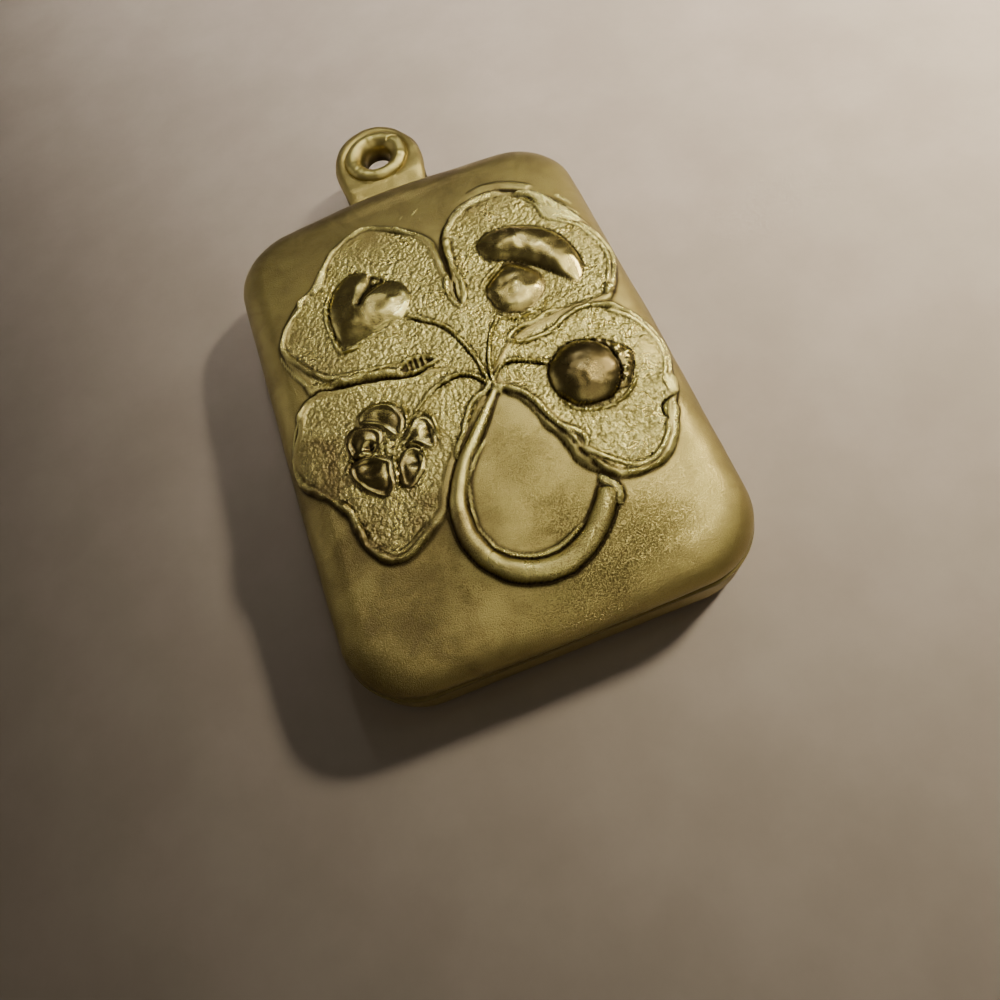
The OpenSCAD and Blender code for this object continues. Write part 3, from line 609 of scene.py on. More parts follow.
# Round dents and lumps: x, y, radius and depth or rise
HEART_DENTS = [
    [-5.1, 8.8, 0.9, 0.06], [-3.6, 6.9, 0.9, 0.07], [-5.6, 6.9, 0.8, 0.04], [-2.6, 6.8, 0.5, -0.05]]
PETAL_HOLLOWS = [
    [-7.2, -3, 0.3, 0.4], [-8, -2.5, 0.5, 0.18], [-7.55, -4.3, 0.5, 0.22], [-4.75, -4.9, 0.45, 0.3],
    [-3.45, -3.5, 0.4, 0.25], [-6, -1.3, 0.6, 0.15], [-7, -5.4, 0.4, -0.12], [-4.1, -3, 0.5, -0.12]]
FLOWER_LUMPS = [
    [-11.75, -3.5, 0.26, 0.1], [-9.75, -6.15, 0.34, 0.13], [-9.3, -7.7, 0.26, 0.13],
    [-9.25, -8.4, 0.22, 0.1], [-8.5, -9.9, 0.24, 0.1], [-10.8, 1.1, 0.24, 0.08], [-8.65, 9.8, 0.2, 0.1],
    [-7.5, 2.2, 0.2, 0.1], [10.3, 0.3, 0.3, 0.09], [-0.7, 12.9, 0.24, 0.08]]
KNOT = [
    [-6.35, -3.25, 0.2, 0.28], [-6.05, -3, 0.2, 0.3], [-5.85, -3.35, 0.22, 0.3], [-6.1, -3.8, 0.2, 0.28],
    [-6.5, -3.55, 0.18, 0.2], [-6.1, -3.45, 0.2, 0.34]]

# Calm places of the leaves, painted dark reflections in the heart, tarnish with painted shade, and gritty
# patches of the face:
# x, y, radius and strength
CALM = [
    [-2.6, 13.2, 1.3, 0.9], [-9.4, 7, 1.2, 0.5], [10.8, -3.4, 1.1, 0.8], [4.6, 12, 1, 0.6],
    [6.4, 12, 1, 0.6], [10.8, 6.6, 1.2, 0.5], [-11.2, -2, 1, 0.5], [-10.2, -0.5, 1.2, 0.4]]
HEART_SHADES = [
    [-5.6, 8.6, 0.45, 0.2], [-5.8, 7.5, 0.35, 0.2], [-3.6, 7, 0.55, 0.65], [-4.3, 6.9, 0.4, 0.5]]
TARNISH = [
    [-9.5, 15, 3.5, 0.5], [-12, 9, 3, 0.45], [-12, -3, 2.5, 0.4], [-10.5, -9, 2.5, 0.5],
    [-9.5, -3.5, 4.5, 0.8], [-6, -8.5, 4, 0.65], [-9.5, 5, 2.5, 0.4], [-6, -15.5, 4.5, 0.75],
    [-11, -14.5, 3, 0.3], [5, 17, 5, 0.75], [-4, 17, 4, 0.65], [7, -3.7, 2, 0.9], [-10.5, -14, 3, 0.3],
    [-8.5, 4, 2, 0.25], [-9.5, 11.5, 0.5, 0.35], [-8.5, -15.8, 0.22, 0.9], [0, 17, 6, 0.25],
    [1.2, -11, 1.4, 0.2], [-1.7, -12.5, 0.4, 0.35]]
GRIT = [
    [2.5, -11.6, 2.2, 0.6], [3.4, -15.8, 2.6, 0.9], [0, -16.2, 2.4, 0.7], [6.5, -13.9, 1.8, 0.6],
    [-4.5, -12.5, 3, 0.4], [-8, -13.5, 2.5, 0.2], [1.5, -7, 2, 0.3]]


@dataclass(frozen=True)
class CoverSizes:
    """Sizes of the covers, in mm, as in the CAD."""

    width: float = 26.0
    height: float = 36.2
    corner_r: float = 4.5
    sheet: float = 0.5
    seam_z: float = 3.5
    wall: float = 0.3
    shoulder_r: float = 2.4
    dome_r: float = 190.0
    face_top: float = 6.5
    bow_end: float = 0.3
    bow_side: float = 0.1
    lip: float = 0.1
    neck_push: float = 0.34
    neck_x: float = -0.8
    neck_width: float = 6.5


@dataclass(frozen=True)
class EarSizes:
    """Sizes of the front ear, in mm, as in the CAD."""

    x: float = 0.15
    y: float = 22.85
    hole_r: float = 1.5
    collar_r: float = 2.5
    low_z: float = 3.5
    lip: float = 0.1
    top_z: float = 4.14
    under_rim_z: float = 3.98
    edge_r: float = 0.6
    neck_edge_r: float = 1.0
    neck_x: float = 0.05
    neck_half: float = 2.95
    neck_y: float = 20.25
    neck_end_y: float = 18.5
    neck_dip: float = 0.34


@dataclass(frozen=True)
class EyeletSizes:
    """Sizes of the eyelet, in mm, as in the CAD."""

    x: float = 0.15
    y: float = 22.85
    hole_r: float = 1.1
    barrel_r: float = 1.45
    rim_r: float = 2.55
    rim_top: float = 4.44
    rim_under: float = 4.025
    foot_r: float = 2.2
    foot_top: float = 2.875
    foot_low: float = 2.605
    split_angle: float = 32.0
    split_depth: float = 0.3


@dataclass
class Sheet:
    """A sheet bent to the form of a cover: a shallow dome, a round shoulder and an upright wall."""

    sizes: CoverSizes

    def __post_init__(self) -> None:
        """Measures the sheet: from its middle to a corner's axis, from there to the shoulder and the edge."""
        size = self.sizes
        self.core_x = size.width / 2 - size.corner_r
        self.core_y = size.height / 2 - size.corner_r
        self.flat = size.corner_r - size.shoulder_r
        self.reach = self.flat + 0.5 * math.pi * size.shoulder_r + size.wall

    def bend(self, s: Array, t: Array) -> Array:
        """Bends points of the flat sheet to the cover's form.

        Args:
            s: Coordinate across the flat sheet, from its middle.
            t: Coordinate up the flat sheet, from its middle.

        Returns:
            The places of the bent points.
        """
        size = self.sizes
        p = np.clip((np.abs(s) - self.core_x) / self.reach, 0.0, 1.0)
        q = np.clip((np.abs(t) - self.core_y) / self.reach, 0.0, 1.0)
        u = self.reach * p * np.sqrt(1.0 - q * q / 2.0)
        v = self.reach * q * np.sqrt(1.0 - p * p / 2.0)
        length = np.maximum(np.hypot(u, v), TINY)
        turn = np.clip((length - self.flat) / size.shoulder_r, 0.0, math.pi / 2)
        down = np.clip(length - self.flat - size.shoulder_r * math.pi / 2, 0.0, None)
        out = np.minimum(length, self.flat) + size.shoulder_r * np.sin(turn)
        x = np.sign(s) * (np.minimum(np.abs(s), self.core_x) + u / length * out)
        y = np.sign(t) * (np.minimum(np.abs(t), self.core_y) + v / length * out)
        curl = np.clip(down - size.wall + size.lip, 0.0, None) / size.lip
        lip = size.lip * (1.0 - np.sqrt(np.clip(1.0 - curl * curl, 0.0, 1.0)))
        x -= np.sign(s) * lip * u / length
        y -= np.sign(t) * lip * v / length
        shoulder_z = size.seam_z + size.wall
        dome = size.face_top - size.dome_r + np.sqrt(size.dome_r ** 2 - x * x - y * y)
        z = shoulder_z + (dome - shoulder_z) * np.cos(turn) - down
        at_neck = np.exp(-((x - size.neck_x) / size.neck_width) ** 2)
        push = size.neck_push * np.sin(2.0 * turn) * (t > 0) * at_neck
        y += push * np.sin(turn)
        z += push * np.cos(turn)
        return np.stack([*self.bow(x, y), z], -1)

    def bow(self, x: Array, y: Array) -> tuple:
        """Draws the ends of the covers in a little towards their corners, as the real ones are."""
        across = np.clip(np.abs(x) / (self.sizes.width / 2), 0, 1)
        up = np.clip(np.abs(y) / (self.sizes.height / 2), 0, 1)
        side = self.sizes.bow_side * across ** 6 * up ** 2
        end = self.sizes.bow_end * up ** 6 * across ** 2
        return x - np.sign(x) * side, y - np.sign(y) * end


def grid_lines(edge: float, low: float, high: float, coarse: int, fine: int) -> Array:
    """Grid lines from edge to edge: coarse cells, fine ones from low to high, and coarse ones again."""
    spans = (-edge, low, coarse), (low, high, fine), (high, edge, coarse)
    return np.concatenate([*(np.linspace(a, b, cells, endpoint=False) for a, b, cells in spans), [edge]])


def add_object(name: str, operator: Callable, **options: object) -> Piece:
    """Adds an object with one of the editor's operators and names it."""
    bpy.ops.object.select_all(action="DESELECT")
    operator(**options)
    piece = bpy.context.active_object
    piece.name = name
    return piece


def make_active(piece: Piece) -> None:
    """Selects one object alone and makes it the active one."""
    bpy.ops.object.select_all(action="DESELECT")
    piece.select_set(True)
    bpy.context.view_layer.objects.active = piece


def edit(piece: Piece, operator: Callable, **options: object) -> None:
    """Applies an operator of edit mode to the whole of a piece."""
    make_active(piece)
    bpy.ops.object.mode_set(mode="EDIT")
    bpy.ops.mesh.select_all(action="SELECT")
    operator(**options)
    bpy.ops.object.mode_set(mode="OBJECT")


def vertices(piece: Piece) -> Array:
    """The x, y and z of a new primitive's vertices, in its own unit."""
    places = np.empty(len(piece.data.vertices) * 3, np.float32)
    piece.data.vertices.foreach_get("co", places)
    return places.reshape(-1, 3).astype(float).T


def shape(piece: Piece, places: Array, masks: dict) -> None:
    """Gives a piece its form and the masks that its material reads.

    Args:
        piece: The piece.
        places: Place of each vertex, in mm.
        masks: By name, a value for each vertex or one for all.
    """
    mesh = piece.data
    mesh.vertices.foreach_set("co", (places * MM).astype(np.float32).ravel())
    mesh.update()
    for name, values in masks.items():
        layer = mesh.attributes.new(name, "FLOAT", "POINT")
        layer.data.foreach_set("value", np.full(len(mesh.vertices), values, np.float32))


def ring(name: str, around: int, count: int) -> tuple:
    """Adds a ring that a piece is turned from.

    Args:
        name: Name of the new object.
        around: Number of sections round the axis.
        count: Number of points of each section.

    Returns:
        The object, and the angle round the axis and the number in its section of each vertex.
    """
    major = 2.0
    piece = add_object(name, bpy.ops.mesh.primitive_torus_add, major_segments=around, minor_segments=count,
                       major_radius=major, minor_radius=0.5)
    x, y, z = vertices(piece)
    turn = np.arctan2(z, np.hypot(x, y) - major)
    return piece, np.arctan2(y, x), np.rint(turn / (2 * math.pi) * count).astype(int) % count


@dataclass
class FrontCover:
    """The stamped front cover, with its relief and its ear.

    The grid across and up is given by where the close lines begin and end, and the cells beside and
    between them.
    """

    sizes: CoverSizes = field(default_factory=CoverSizes)
    ear: EarSizes = field(default_factory=EarSizes)
    across: tuple = (-12.75, 12.75, 8, 259)
    up: tuple = (-15.3, 14.7, 15, 300)
    thin_out: int = 5
    fade: float = 0.6
    ear_around: int = 144
    ear_rings: int = 16
    smooth_angle: float = 40.0

    def build(self) -> Piece:
        """Models the cover.

        Returns:
            The finished piece.
        """
        sheet = Sheet(self.sizes)
        across = grid_lines(sheet.core_x + sheet.reach, *self.across)
        up = grid_lines(sheet.core_y + sheet.reach, *self.up)
        outer = self.outer_skin(sheet, *np.meshgrid(across, up))
        inner = self.inner_skin(sheet, *np.meshgrid(across[::self.thin_out], up[::self.thin_out]))
        return self.join(outer, inner, self.ear_plate())

    def skin(self, name: str, places: Array, masks: dict) -> Piece:
        """Models a skin on a grid.

        Args:
            name: Name of the new object.
            places: Places of the grid's points, by row and column.
            masks: Values of the grid's points, by name.

        Returns:
            The skin.
        """
        rows, columns, _ = places.shape
        piece = add_object(name, bpy.ops.mesh.primitive_grid_add, x_subdivisions=columns - 1,
                           y_subdivisions=rows - 1, size=2.0)
        x, y, _ = vertices(piece)
        column = np.rint((x + 1.0) / 2.0 * (columns - 1)).astype(int)
        row = np.rint((y + 1.0) / 2.0 * (rows - 1)).astype(int)
        values = {label: mask.reshape(rows, columns)[row, column] for label, mask in masks.items()}
        shape(piece, places[row, column], values)
        return piece

    def outer_skin(self, sheet: Sheet, s: Array, t: Array) -> Piece:
        """Models the outer skin with the relief on it.

        Args:
            sheet: The bent form of the cover.
            s: Coordinate across the flat sheet.
            t: Coordinate up the flat sheet.

        Returns:
            The outer skin.
        """
        base = sheet.bend(s, t)
        x, y, z = np.moveaxis(base, -1, 0)
        normal = unit(np.cross(np.gradient(base, axis=1), np.gradient(base, axis=0)))
        relief = CloverRelief(x.ravel(), y.ravel())
        relief.build()
        hold = smooth((z - self.sizes.seam_z - self.sizes.wall) / self.fade)
        beaten = sum(depth * noise(x, y, cell, seed) for depth, cell, seed in BEATEN)
        height = relief.height.reshape(x.shape) * hold + beaten * hold
        places = base + normal * height[..., None]
        places[..., 0] = np.clip(places[..., 0], x.min(), x.max())
        # Crests are painted lighter, as rubbed brass and as painted highlight; hollows are painted dark, as
        # painted shade.
        crest, hollow = self.crests(height)
        # The tarnish spots are real tarnish in places and painted dark reflections in others, such as on the
        # dome and the top of the face.
        return self.skin("front_cover_piece", places, {
            **relief.masks, "crest": crest, "hollow": hollow,
            "tarnish": self.spots(x, y, TARNISH), "grit": self.spots(x, y, GRIT)})

    @staticmethod
    def crests(height: Array) -> tuple:
        """Tells crests and hollows apart from the mean height around them.

        Args:
            height: Height of the relief on the grid.

        Returns:
            Crests and hollows, from 0 to 1.
        """
        rounds, full_crest, full_hollow = 8, 0.05, 0.055
        mean = height
        for _ in range(rounds):
            mean = sum(neighbours(mean), mean) / 5
        return smooth((height - mean) / full_crest), smooth((mean - height) / full_hollow)

    @staticmethod
    def spots(x: Array, y: Array, rows: list) -> Array:
        """Soft uneven patches at the spots of a table, from 0 to 1."""
        patches = sum(falloff(x, y, spot) for spot in rows)
        return np.clip(patches + 0.15 * noise(x, y, 2.5, 21) + 0.1 * noise(x, y, 0.8, 22), 0.0, 1.0)

    def inner_skin(self, sheet: Sheet, s: Array, t: Array) -> Piece:
        """Models the plain inner skin, a wall's thickness inside the outer one.

        Args:
            sheet: The bent form of the cover.
            s: Coordinate across the flat sheet.
            t: Coordinate up the flat sheet.

        Returns:
            The inner skin, facing inwards.
        """
        step = 0.01
        base = sheet.bend(s, t)
        grow = sheet.bend(s + step, t) - sheet.bend(s - step, t)
        rise = sheet.bend(s, t + step) - sheet.bend(s, t - step)
        normal = unit(np.cross(grow, rise))
        at_edge = base[..., 2:] < self.sizes.seam_z + 1e-6
        level = unit(np.where(at_edge, normal * [1.0, 1.0, 0.0], normal))
        places = base - level * self.sizes.sheet
        places[..., 2] = np.maximum(places[..., 2], self.sizes.seam_z)
        piece = self.skin("inner_skin", places, {})
        edit(piece, bpy.ops.mesh.flip_normals)
        return piece

    def ear_plate(self) -> Piece:
        """Models the ear: a round plate with a hole, on a neck that runs into the shoulder.

        Returns:
            The ear.
        """
        ear, rings = self.ear, self.ear_rings
        piece, angle, step = ring("ear_plate", self.ear_around, 2 * rings)
        outline = self.ear_outline(angle)
        over = np.minimum(step, 2 * rings - step) / rings
        radius = ear.hole_r + (outline - ear.hole_r) * (1.0 - over) ** 0.8
        x = ear.x + radius * np.cos(angle)
        y = ear.y + radius * np.sin(angle)
        neck = smooth((ear.neck_y + 0.5 - y) / 1.3)
        edge_r = ear.edge_r + (ear.neck_edge_r - ear.edge_r) * neck
        from_edge = np.clip((outline - radius) / edge_r, 0.0, 1.0)
        from_side = np.clip((ear.neck_half - np.abs(x - ear.neck_x)) / ear.neck_edge_r, 0.0, 1.0)
        from_edge = np.where(y < ear.neck_end_y, np.maximum(from_edge, from_side), from_edge)
        round_edge = np.sqrt(np.clip(1.0 - (1.0 - from_edge) ** 2, 0.0, 1.0))
        collar = smooth((radius - ear.collar_r) / 0.2)
        crown = ear.under_rim_z + (ear.top_z - ear.under_rim_z) * collar
        crown += 0.035 * collar * noise(x, y, 0.8, 31) - ear.neck_dip * smooth((ear.neck_y - y) / 1.1)
        top = ear.low_z + ear.lip + (crown - ear.low_z - ear.lip) * round_edge
        z = np.where(step <= rings, top, ear.low_z)
        z = np.where(step == 0, ear.low_z + ear.lip, z)
        shape(piece, np.stack([x, y, z], -1), {"tarnish": 0.1})
        edit(piece, bpy.ops.mesh.normals_make_consistent, inside=False)
        return piece

    def ear_outline(self, angle: Array) -> Array:
        """Distance from the eyelet's axis to the edge of the ear and its neck, by angle."""
        x, y = (curve(EAR_EDGE, closed=True) - [self.ear.x, self.ear.y]).T
        turn = np.arctan2(y, x)
        order = np.argsort(turn)
        return np.interp(angle, turn[order], np.hypot(x, y)[order], period=2 * math.pi)

    def join(self, outer: Piece, inner: Piece, ear: Piece) -> Piece:
        """Joins the skins, bridges their edges and adds the ear.

        Args:
            outer: The outer skin.
            inner: The inner skin.
            ear: The ear.

        Returns:
            The whole cover.
        """
        make_active(outer)
        inner.select_set(True)
        bpy.ops.object.join()
        bpy.ops.object.mode_set(mode="EDIT")
        bpy.ops.mesh.select_mode(type="EDGE")
        bpy.ops.mesh.select_all(action="DESELECT")
        bpy.ops.mesh.select_non_manifold(extend=False, use_wire=False, use_boundary=True,
                                         use_multi_face=False, use_non_contiguous=False, use_verts=False)
        bpy.ops.mesh.bridge_edge_loops()
        bpy.ops.object.mode_set(mode="OBJECT")
        ear.select_set(True)
        bpy.ops.object.join()
        bpy.ops.object.shade_smooth_by_angle(angle=math.radians(self.smooth_angle))
        return outer


@dataclass
class CloverRelief(Relief):
    """The clover with its four charms, stems and loop."""

    wander: float = 0.05
    leaf_rise: float = 0.2
    leaf_foot: float = 0.24
    pebble_rise: float = 0.036
    pebble_sink: float = 0.024
    fibre_rise: float = 0.02
    loop_rise: float = 0.62
    dome_rise: float = 1.05

    def __post_init__(self) -> None:
        """Lets the lines wander a little, and starts flat."""
        x, y = self.x, self.y
        self.x = x + self.wander * noise(x, y, 0.7, 71)
        self.y = y + self.wander * noise(x, y, 0.7, 72)
        super().__post_init__()

    def build(self) -> None:
        """Raises every form of the relief."""
        for rows in (HEART_LEAF, FLOWER_LEAF, MUSHROOM_LEAF, DOME_LEAF):
            self.leaf(rows, self.leaf_rise, self.leaf_foot)
        self.matting()
        self.terrace()
        with self.lines():
            self.rims()
            self.stems()
        for form in (self.facets, self.loop, self.pod, self.heart, self.mushroom, self.dome, self.flower):
            form()

    def matting(self) -> None:
        """Roughens the ground of the leaves, with calmer places where the photograph has them."""
        x, y, ground = self.x, self.y, self.masks["ground"]
        for spot in CALM:
            ground *= 1.0 - falloff(x, y, spot)
        pebbles = np.abs(noise(x, y, 0.36, 5)) ** 0.7 + 0.6 * np.abs(noise(x, y, 0.24, 6)) ** 0.7
        self.height += ground * (self.pebble_rise * pebbles - self.pebble_sink + 0.03 * noise(x, y, 1.3, 7))
        fibres = noise(0.7 * (x - y), 0.12 * (x + y) + 3.0, 0.22, 8)
        on_mushroom = smooth((x - 1.8) / 0.5) * smooth((y - 1.6) / 0.6)
        raised = np.where(self.height > 0.15, 1.0, 0.0)
        self.height += self.fibre_rise * on_mushroom * raised * fibres

    def terrace(self) -> None:
        """Raises the low, wide step beyond the mushroom's leaf."""
        path = curve(TERRACE)
        points = self.near(path, 1.6)
        distance, place, side, _ = self.along(path, points)
        outer, inner, rubbed = (smooth(1.0 - distance / width) for width in (0.25, 1.3, 0.6))
        ends = smooth(place / 0.3) * smooth((1.0 - place) / 0.07)
        self.lift_to(points, 0.14 * ends * np.where(side > 0.0, outer, inner))
        self.paint("bright", points, 0.5 * ends * np.where(side > 0.0, outer, rubbed))

    def rims(self) -> None:
        """Raises the rolled rims and folds of the leaves and sinks the lines between them."""
        # The rims and folds are painted bright, as rubbed brass and as painted highlight; the dome's flank
        # and the lines between the rims get painted shade.
        for rows, half, rise in (
                (HEART_RIM, 0.22, 0.17), (HEART_PATCH, 0.36, 0.16), (HEART_FOLD, 0.28, 0.28),
                (MUSHROOM_RIM_LEFT, 0.22, 0.16), (MUSHROOM_RIM_TOP, 0.4, 0.16),
                (MUSHROOM_RIM_RIGHT, 0.18, 0.14), (MUSHROOM_RIM_FINE, 0.16, 0.11),
                (MUSHROOM_CURL, 0.2, 0.2), (MUSHROOM_BUD, 0.17, 0.16), (DOME_TIP, 0.17, 0.15),
                (DOME_RIM_FINE, 0.16, 0.1), (DOME_RIM_LOW, 0.18, 0.15), (DOME_RIM_LOW_FINE, 0.16, 0.12),
                (DOME_CREST, 0.17, 0.16), (FLOWER_RIM, 0.22, 0.17), (FLOWER_RIM_FINE, 0.15, 0.08),
                (FLOWER_SLIVER, 0.17, 0.18), (KNOT_OF_STEMS, 0.28, 0.16)):
            self.bead(rows, half, rise, ragged=0.6)
        self.beads(LEAF_VEINS, 0.12, 0.08)
        self.beads(FACET_LINES, 0.12, 0.1)
        self.beads(OUTER_RIDGES, 0.16, 0.08)
        self.beads(SCRATCH_BEADS, 0.08, 0.03)
        self.bead(DOME_FLANK, 0.3, 0.22, mask="shade", power=0.6)
        for rows, half, depth in (
                (HEART_GAP, 0.15, 0.2), (MUSHROOM_SHADE, 0.2, 0.22), (BUD_SLIT, 0.12, 0.12),
                (DOME_CRACK, 0.13, 0.14)):
            self.groove(rows, half, depth)
        for x, y, radius, rise in FLOWER_LUMPS:
            distance = np.hypot(self.x - x, self.y - y)
            self.lift += rise * smooth(1.0 - distance / (1.6 * radius))

    def stems(self) -> None:
        """Raises the four thin stems, each with a line of painted shadow at its lower side."""
        for rows in (STEM_TO_HEART, STEM_TO_MUSHROOM, STEM_TO_DOME, STEM_TO_FLOWER):
            self.bead(rows, 0.13, 0.17, taper=0.02, power=0.7)
            beside = [[x - 0.16, y - 0.12, *factor] for x, y, *factor in rows]
            self.groove(beside, 0.11, 0.06, shade=0.6)

    def facets(self) -> None:
        """Raises the flat facets beside the rims with a painted highlight on them, the mushroom's tilted
        outwards.
        """
        middle, tilt = 13.4, 0.2
        self.swell(MUSHROOM_FACET, 0.12, fullness=0.3, base=self.leaf_rise, mask="bright")
        points, depth = self.within(MUSHROOM_FACET)
        outwards = 0.707 * (self.x[points] + self.y[points]) - middle
        self.height[points] += tilt * smooth(depth / 0.15) * outwards
        self.swell(DOME_FACET, 0.1, fullness=0.4, base=self.leaf_rise, mask="bright")

    def loop(self) -> None:
        """Raises the thick looped stem, with the fine ledge along its inner side."""
        with self.lines():
            self.bead(LOOP_LEDGE, 0.17, 0.17, ragged=0.2)
        path = curve(LOOP)
        points = self.near(path, 1.2)
        distance, place, _, extra = self.along(path, points)
        factor = extra[:, 0]
        half = 0.62 * factor
        section = np.clip(1.0 - (distance / half) ** 2, 0.0, 1.0)
        ends = smooth((1.0 - place) / 0.015 + 0.001)
        form = self.loop_rise * np.sqrt(section) * factor ** 1.2 * ends
        form *= 1.0 + 0.05 * noise(self.x[points], self.y[points], 0.9, 61)
        self.lift_to(points, form)
        covered = smooth(section * 6.0)
        self.paint("polish", points, 0.5 * covered)
        self.cover(points, covered)
        # Painted shade: a dark line just outside the loop, and darker flanks on the tube.
        self.paint("shade", points, 0.7 * smooth(1.0 - np.abs(distance - half - 0.08) / 0.16))
        self.paint("shade", points, 0.4 * covered * smooth(1.0 - section / 0.7))
        self.swell(LOOP_TIP, 0.3, mask="bright")
        with self.lines():
            self.beads(LOOP_TIP_LINES, 0.12, 0.1)

    def pod(self) -> None:
        """Raises the small ribbed pod between the left leaves."""
        with self.lines():
            self.bead(POD_EDGE, 0.17, 0.17, taper=0.0)
            points, depth = self.within(POD)
            inside = smooth(depth / 0.08)
            ribs = sum(smooth(1.0 - np.abs(self.x[points] - rib) / 0.13) for rib in POD_RIBS)
            self.lift[points] += smooth(depth / 0.1) * (0.14 * ribs - 0.1)
            self.paint("shade", points, inside * (1.0 - ribs) * 0.6)
            self.cover(points, inside)

    def heart(self) -> None:
        """Raises the heart, with its crease and the line round it, and paints its highlights, brightest along
        its lower band, and its dark reflections.
        """
        with self.lines():
            self.bead(HEART_LINE, 0.13, 0.16, ragged=0.4)
        self.swell(HEART, 0.5, fullness=0.7, base=0.12)
        self.gleam(HEART, 0.4, 0.8)
        with self.lines():
            self.groove(HEART_CREASE, 0.75, 0.3, shade=0.15)
            self.bead(HEART_BAND, 0.34, 0.05)
        self.press(HEART_DENTS)
        for spot in HEART_SHADES:
            self.paint("shade", self.every, falloff(self.x, self.y, spot))
        self.dent(HEART, 0.015, 0.7, 62)

    def mushroom(self) -> None:
        """Raises the mushroom's cap and stalk."""
        with self.lines():
            self.beads(STALK_LINES, 0.1, 0.13)
        self.swell(STALK, 0.7, fullness=0.62)
        self.dent(STALK, 0.07, 0.9, 63)
        self.swell(CAP, 0.9, fullness=0.58)
        self.dent(CAP, 0.06, 1.0, 64)

    def dome(self) -> None:
        """Raises the dome and the rough cup at its side."""
        with self.lines():
            self.bead(DOME_LINE, 0.1, 0.13)
        self.swell(DOME_CUP, 0.5, fullness=0.4)
        x, y, radius = DOME
        distance = np.hypot(self.x - x, self.y - y)
        level = np.clip(1.0 - (distance / radius) ** 2, 0.0, 1.0)
        beaten = 1.0 + 0.06 * noise(self.x, self.y, 1.1, 65) + 0.02 * noise(self.x, self.y, 0.4, 66)
        self.lift_to(self.every, self.dome_rise * level ** 0.55 * beaten)
        covered = smooth(level * 8.0)
        self.paint("polish", self.every, covered)
        # Painted shade over the dome, for its dark reflections.
        self.paint("shade", self.every, 0.5 * covered)
        self.cover(self.every, covered)
        with self.lines():
            self.groove(DOME_SEAM, 0.14, 0.14)
        self.press([[x, y, 0.26, -0.13] for x, y in KNOBS])

    def flower(self) -> None:
        """Raises the flower's petals and its knot, with painted highlights on the petals."""
        for rows, rise in ((PETAL_RIGHT, 0.28), (PETAL_LOW, 0.32), (PETAL_TOP, 0.33), (PETAL_LEFT, 0.31),
                           (PETAL_HEART, 0.33)):
            self.swell(rows, rise, fullness=0.6, base=0.12)
            self.gleam(rows, 0.7, 1.0, dish=0.13)
            self.dent(rows, 0.03, 0.8, 67)
        with self.lines():
            self.beads(PETAL_FOLDS, 0.11, 0.16)
        self.press(PETAL_HOLLOWS, wide=1.6, deep=0.65)
        self.press(KNOT, wide=1.5, deep=-0.8)


@dataclass
class Eyelet:
    """The hollow rivet through both ears, with its flared and rolled rim."""

    sizes: EyeletSizes = field(default_factory=EyeletSizes)
    around: int = 240
    smooth_angle: float = 50.0

    def section(self) -> Array:
        """Closed section of the rivet as radius and height, from the bore's foot upwards."""
        z = self.sizes
        mouth = curve([
            [z.hole_r, 3.15], [z.hole_r + 0.02, 3.5], [z.hole_r + 0.1, 3.85], [z.hole_r + 0.26, 4.13],
            [z.hole_r + 0.5, 4.34], [z.hole_r + 0.78, z.rim_top], [z.rim_r - 0.42, 4.42],
            [z.rim_r - 0.2, 4.33], [z.rim_r - 0.05, 4.18], [z.rim_r - 0.02, z.rim_under]], steps=3)
        foot = curve([
            [z.foot_r - 0.05, z.foot_top], [z.foot_r, 2.78], [z.foot_r - 0.07, 2.66],
            [z.foot_r - 0.27, z.foot_low]], steps=3)
        return np.vstack([
            [[z.hole_r, z.foot_low], [z.hole_r, 2.9]], mouth,
            [[2.0, z.rim_under], [z.barrel_r, z.rim_under], [z.barrel_r, 3.5], [z.barrel_r, z.foot_top]],
            foot])

    def build(self) -> Piece:
        """Models the rivet.

        Returns:
            The finished piece.
        """
        size, section = self.sizes, self.section()
        piece, angle, step = ring("eyelet_piece", self.around, len(section))
        radius, z = section[step].T.copy()
        ring_x, ring_y = 6.0 * np.cos(angle), 6.0 * np.sin(angle)
        on_rim = smooth((radius - 1.5) / 0.7) * smooth((z - 4.0) / 0.1)
        radius -= on_rim * (0.05 + 0.05 * noise(ring_x, ring_y, 1.6, 41))
        z -= smooth((z - 3.9) / 0.3) * (0.035 + 0.035 * noise(ring_x, ring_y, 1.1, 42))
        slant = angle - math.radians(size.split_angle) + 0.22 * (radius - size.foot_r)
        off = np.degrees(np.abs(np.angle(np.exp(1j * slant))))
        split = smooth(1.0 - off / 4.0) * smooth((radius - 1.55) / 0.3) * smooth((z - 4.03) / 0.12)
        z -= size.split_depth * split * (z - size.rim_under) / (size.rim_top - size.rim_under)
        in_bore = smooth((3.7 - z) / 0.8) * (radius < 1.3)
        places = np.stack([size.x + radius * np.cos(angle), size.y + radius * np.sin(angle), z], -1)
        # The hollow mask is painted shade: down the bore and in the split of the rim.
        shape(piece, places, {"hollow": np.clip(split + in_bore, 0.0, 1.0),
                              "crest": 0.6 * smooth((z - 4.25) / 0.15), "tarnish": 0.1})
        edit(piece, bpy.ops.mesh.normals_make_consistent, inside=False)
        bpy.ops.object.shade_smooth_by_angle(angle=math.radians(self.smooth_angle))
        return piece


@dataclass(frozen=True)
class BrassFinish:
    """A finish of raw brass: its colours, its gloss and its grain."""

    name: str
    # Colours: clean brass; rubbed brass, which also paints highlights; tarnish, which also paints darkening;
    # and the colour of painted shade.
    clean: tuple = (0.45, 0.37, 0.14)
    worn: tuple = (0.94, 0.85, 0.33)
    tarnish: tuple = (0.19, 0.145, 0.062)
    dark: tuple = (0.045, 0.032, 0.015)
    rough: float = 0.28
    rubbed_rough: float = 0.24
    grain: float = 1.4
    pebble: float = 9.6
    bump_mm: float = 0.012
    seam_z: float = 0.0


class Effect(Enum):
    """Shared effects, each a node group."""

    GRAIN = "sheet_grain"
    PEBBLES = "matted_ground"
    TONE = "aged_tone"


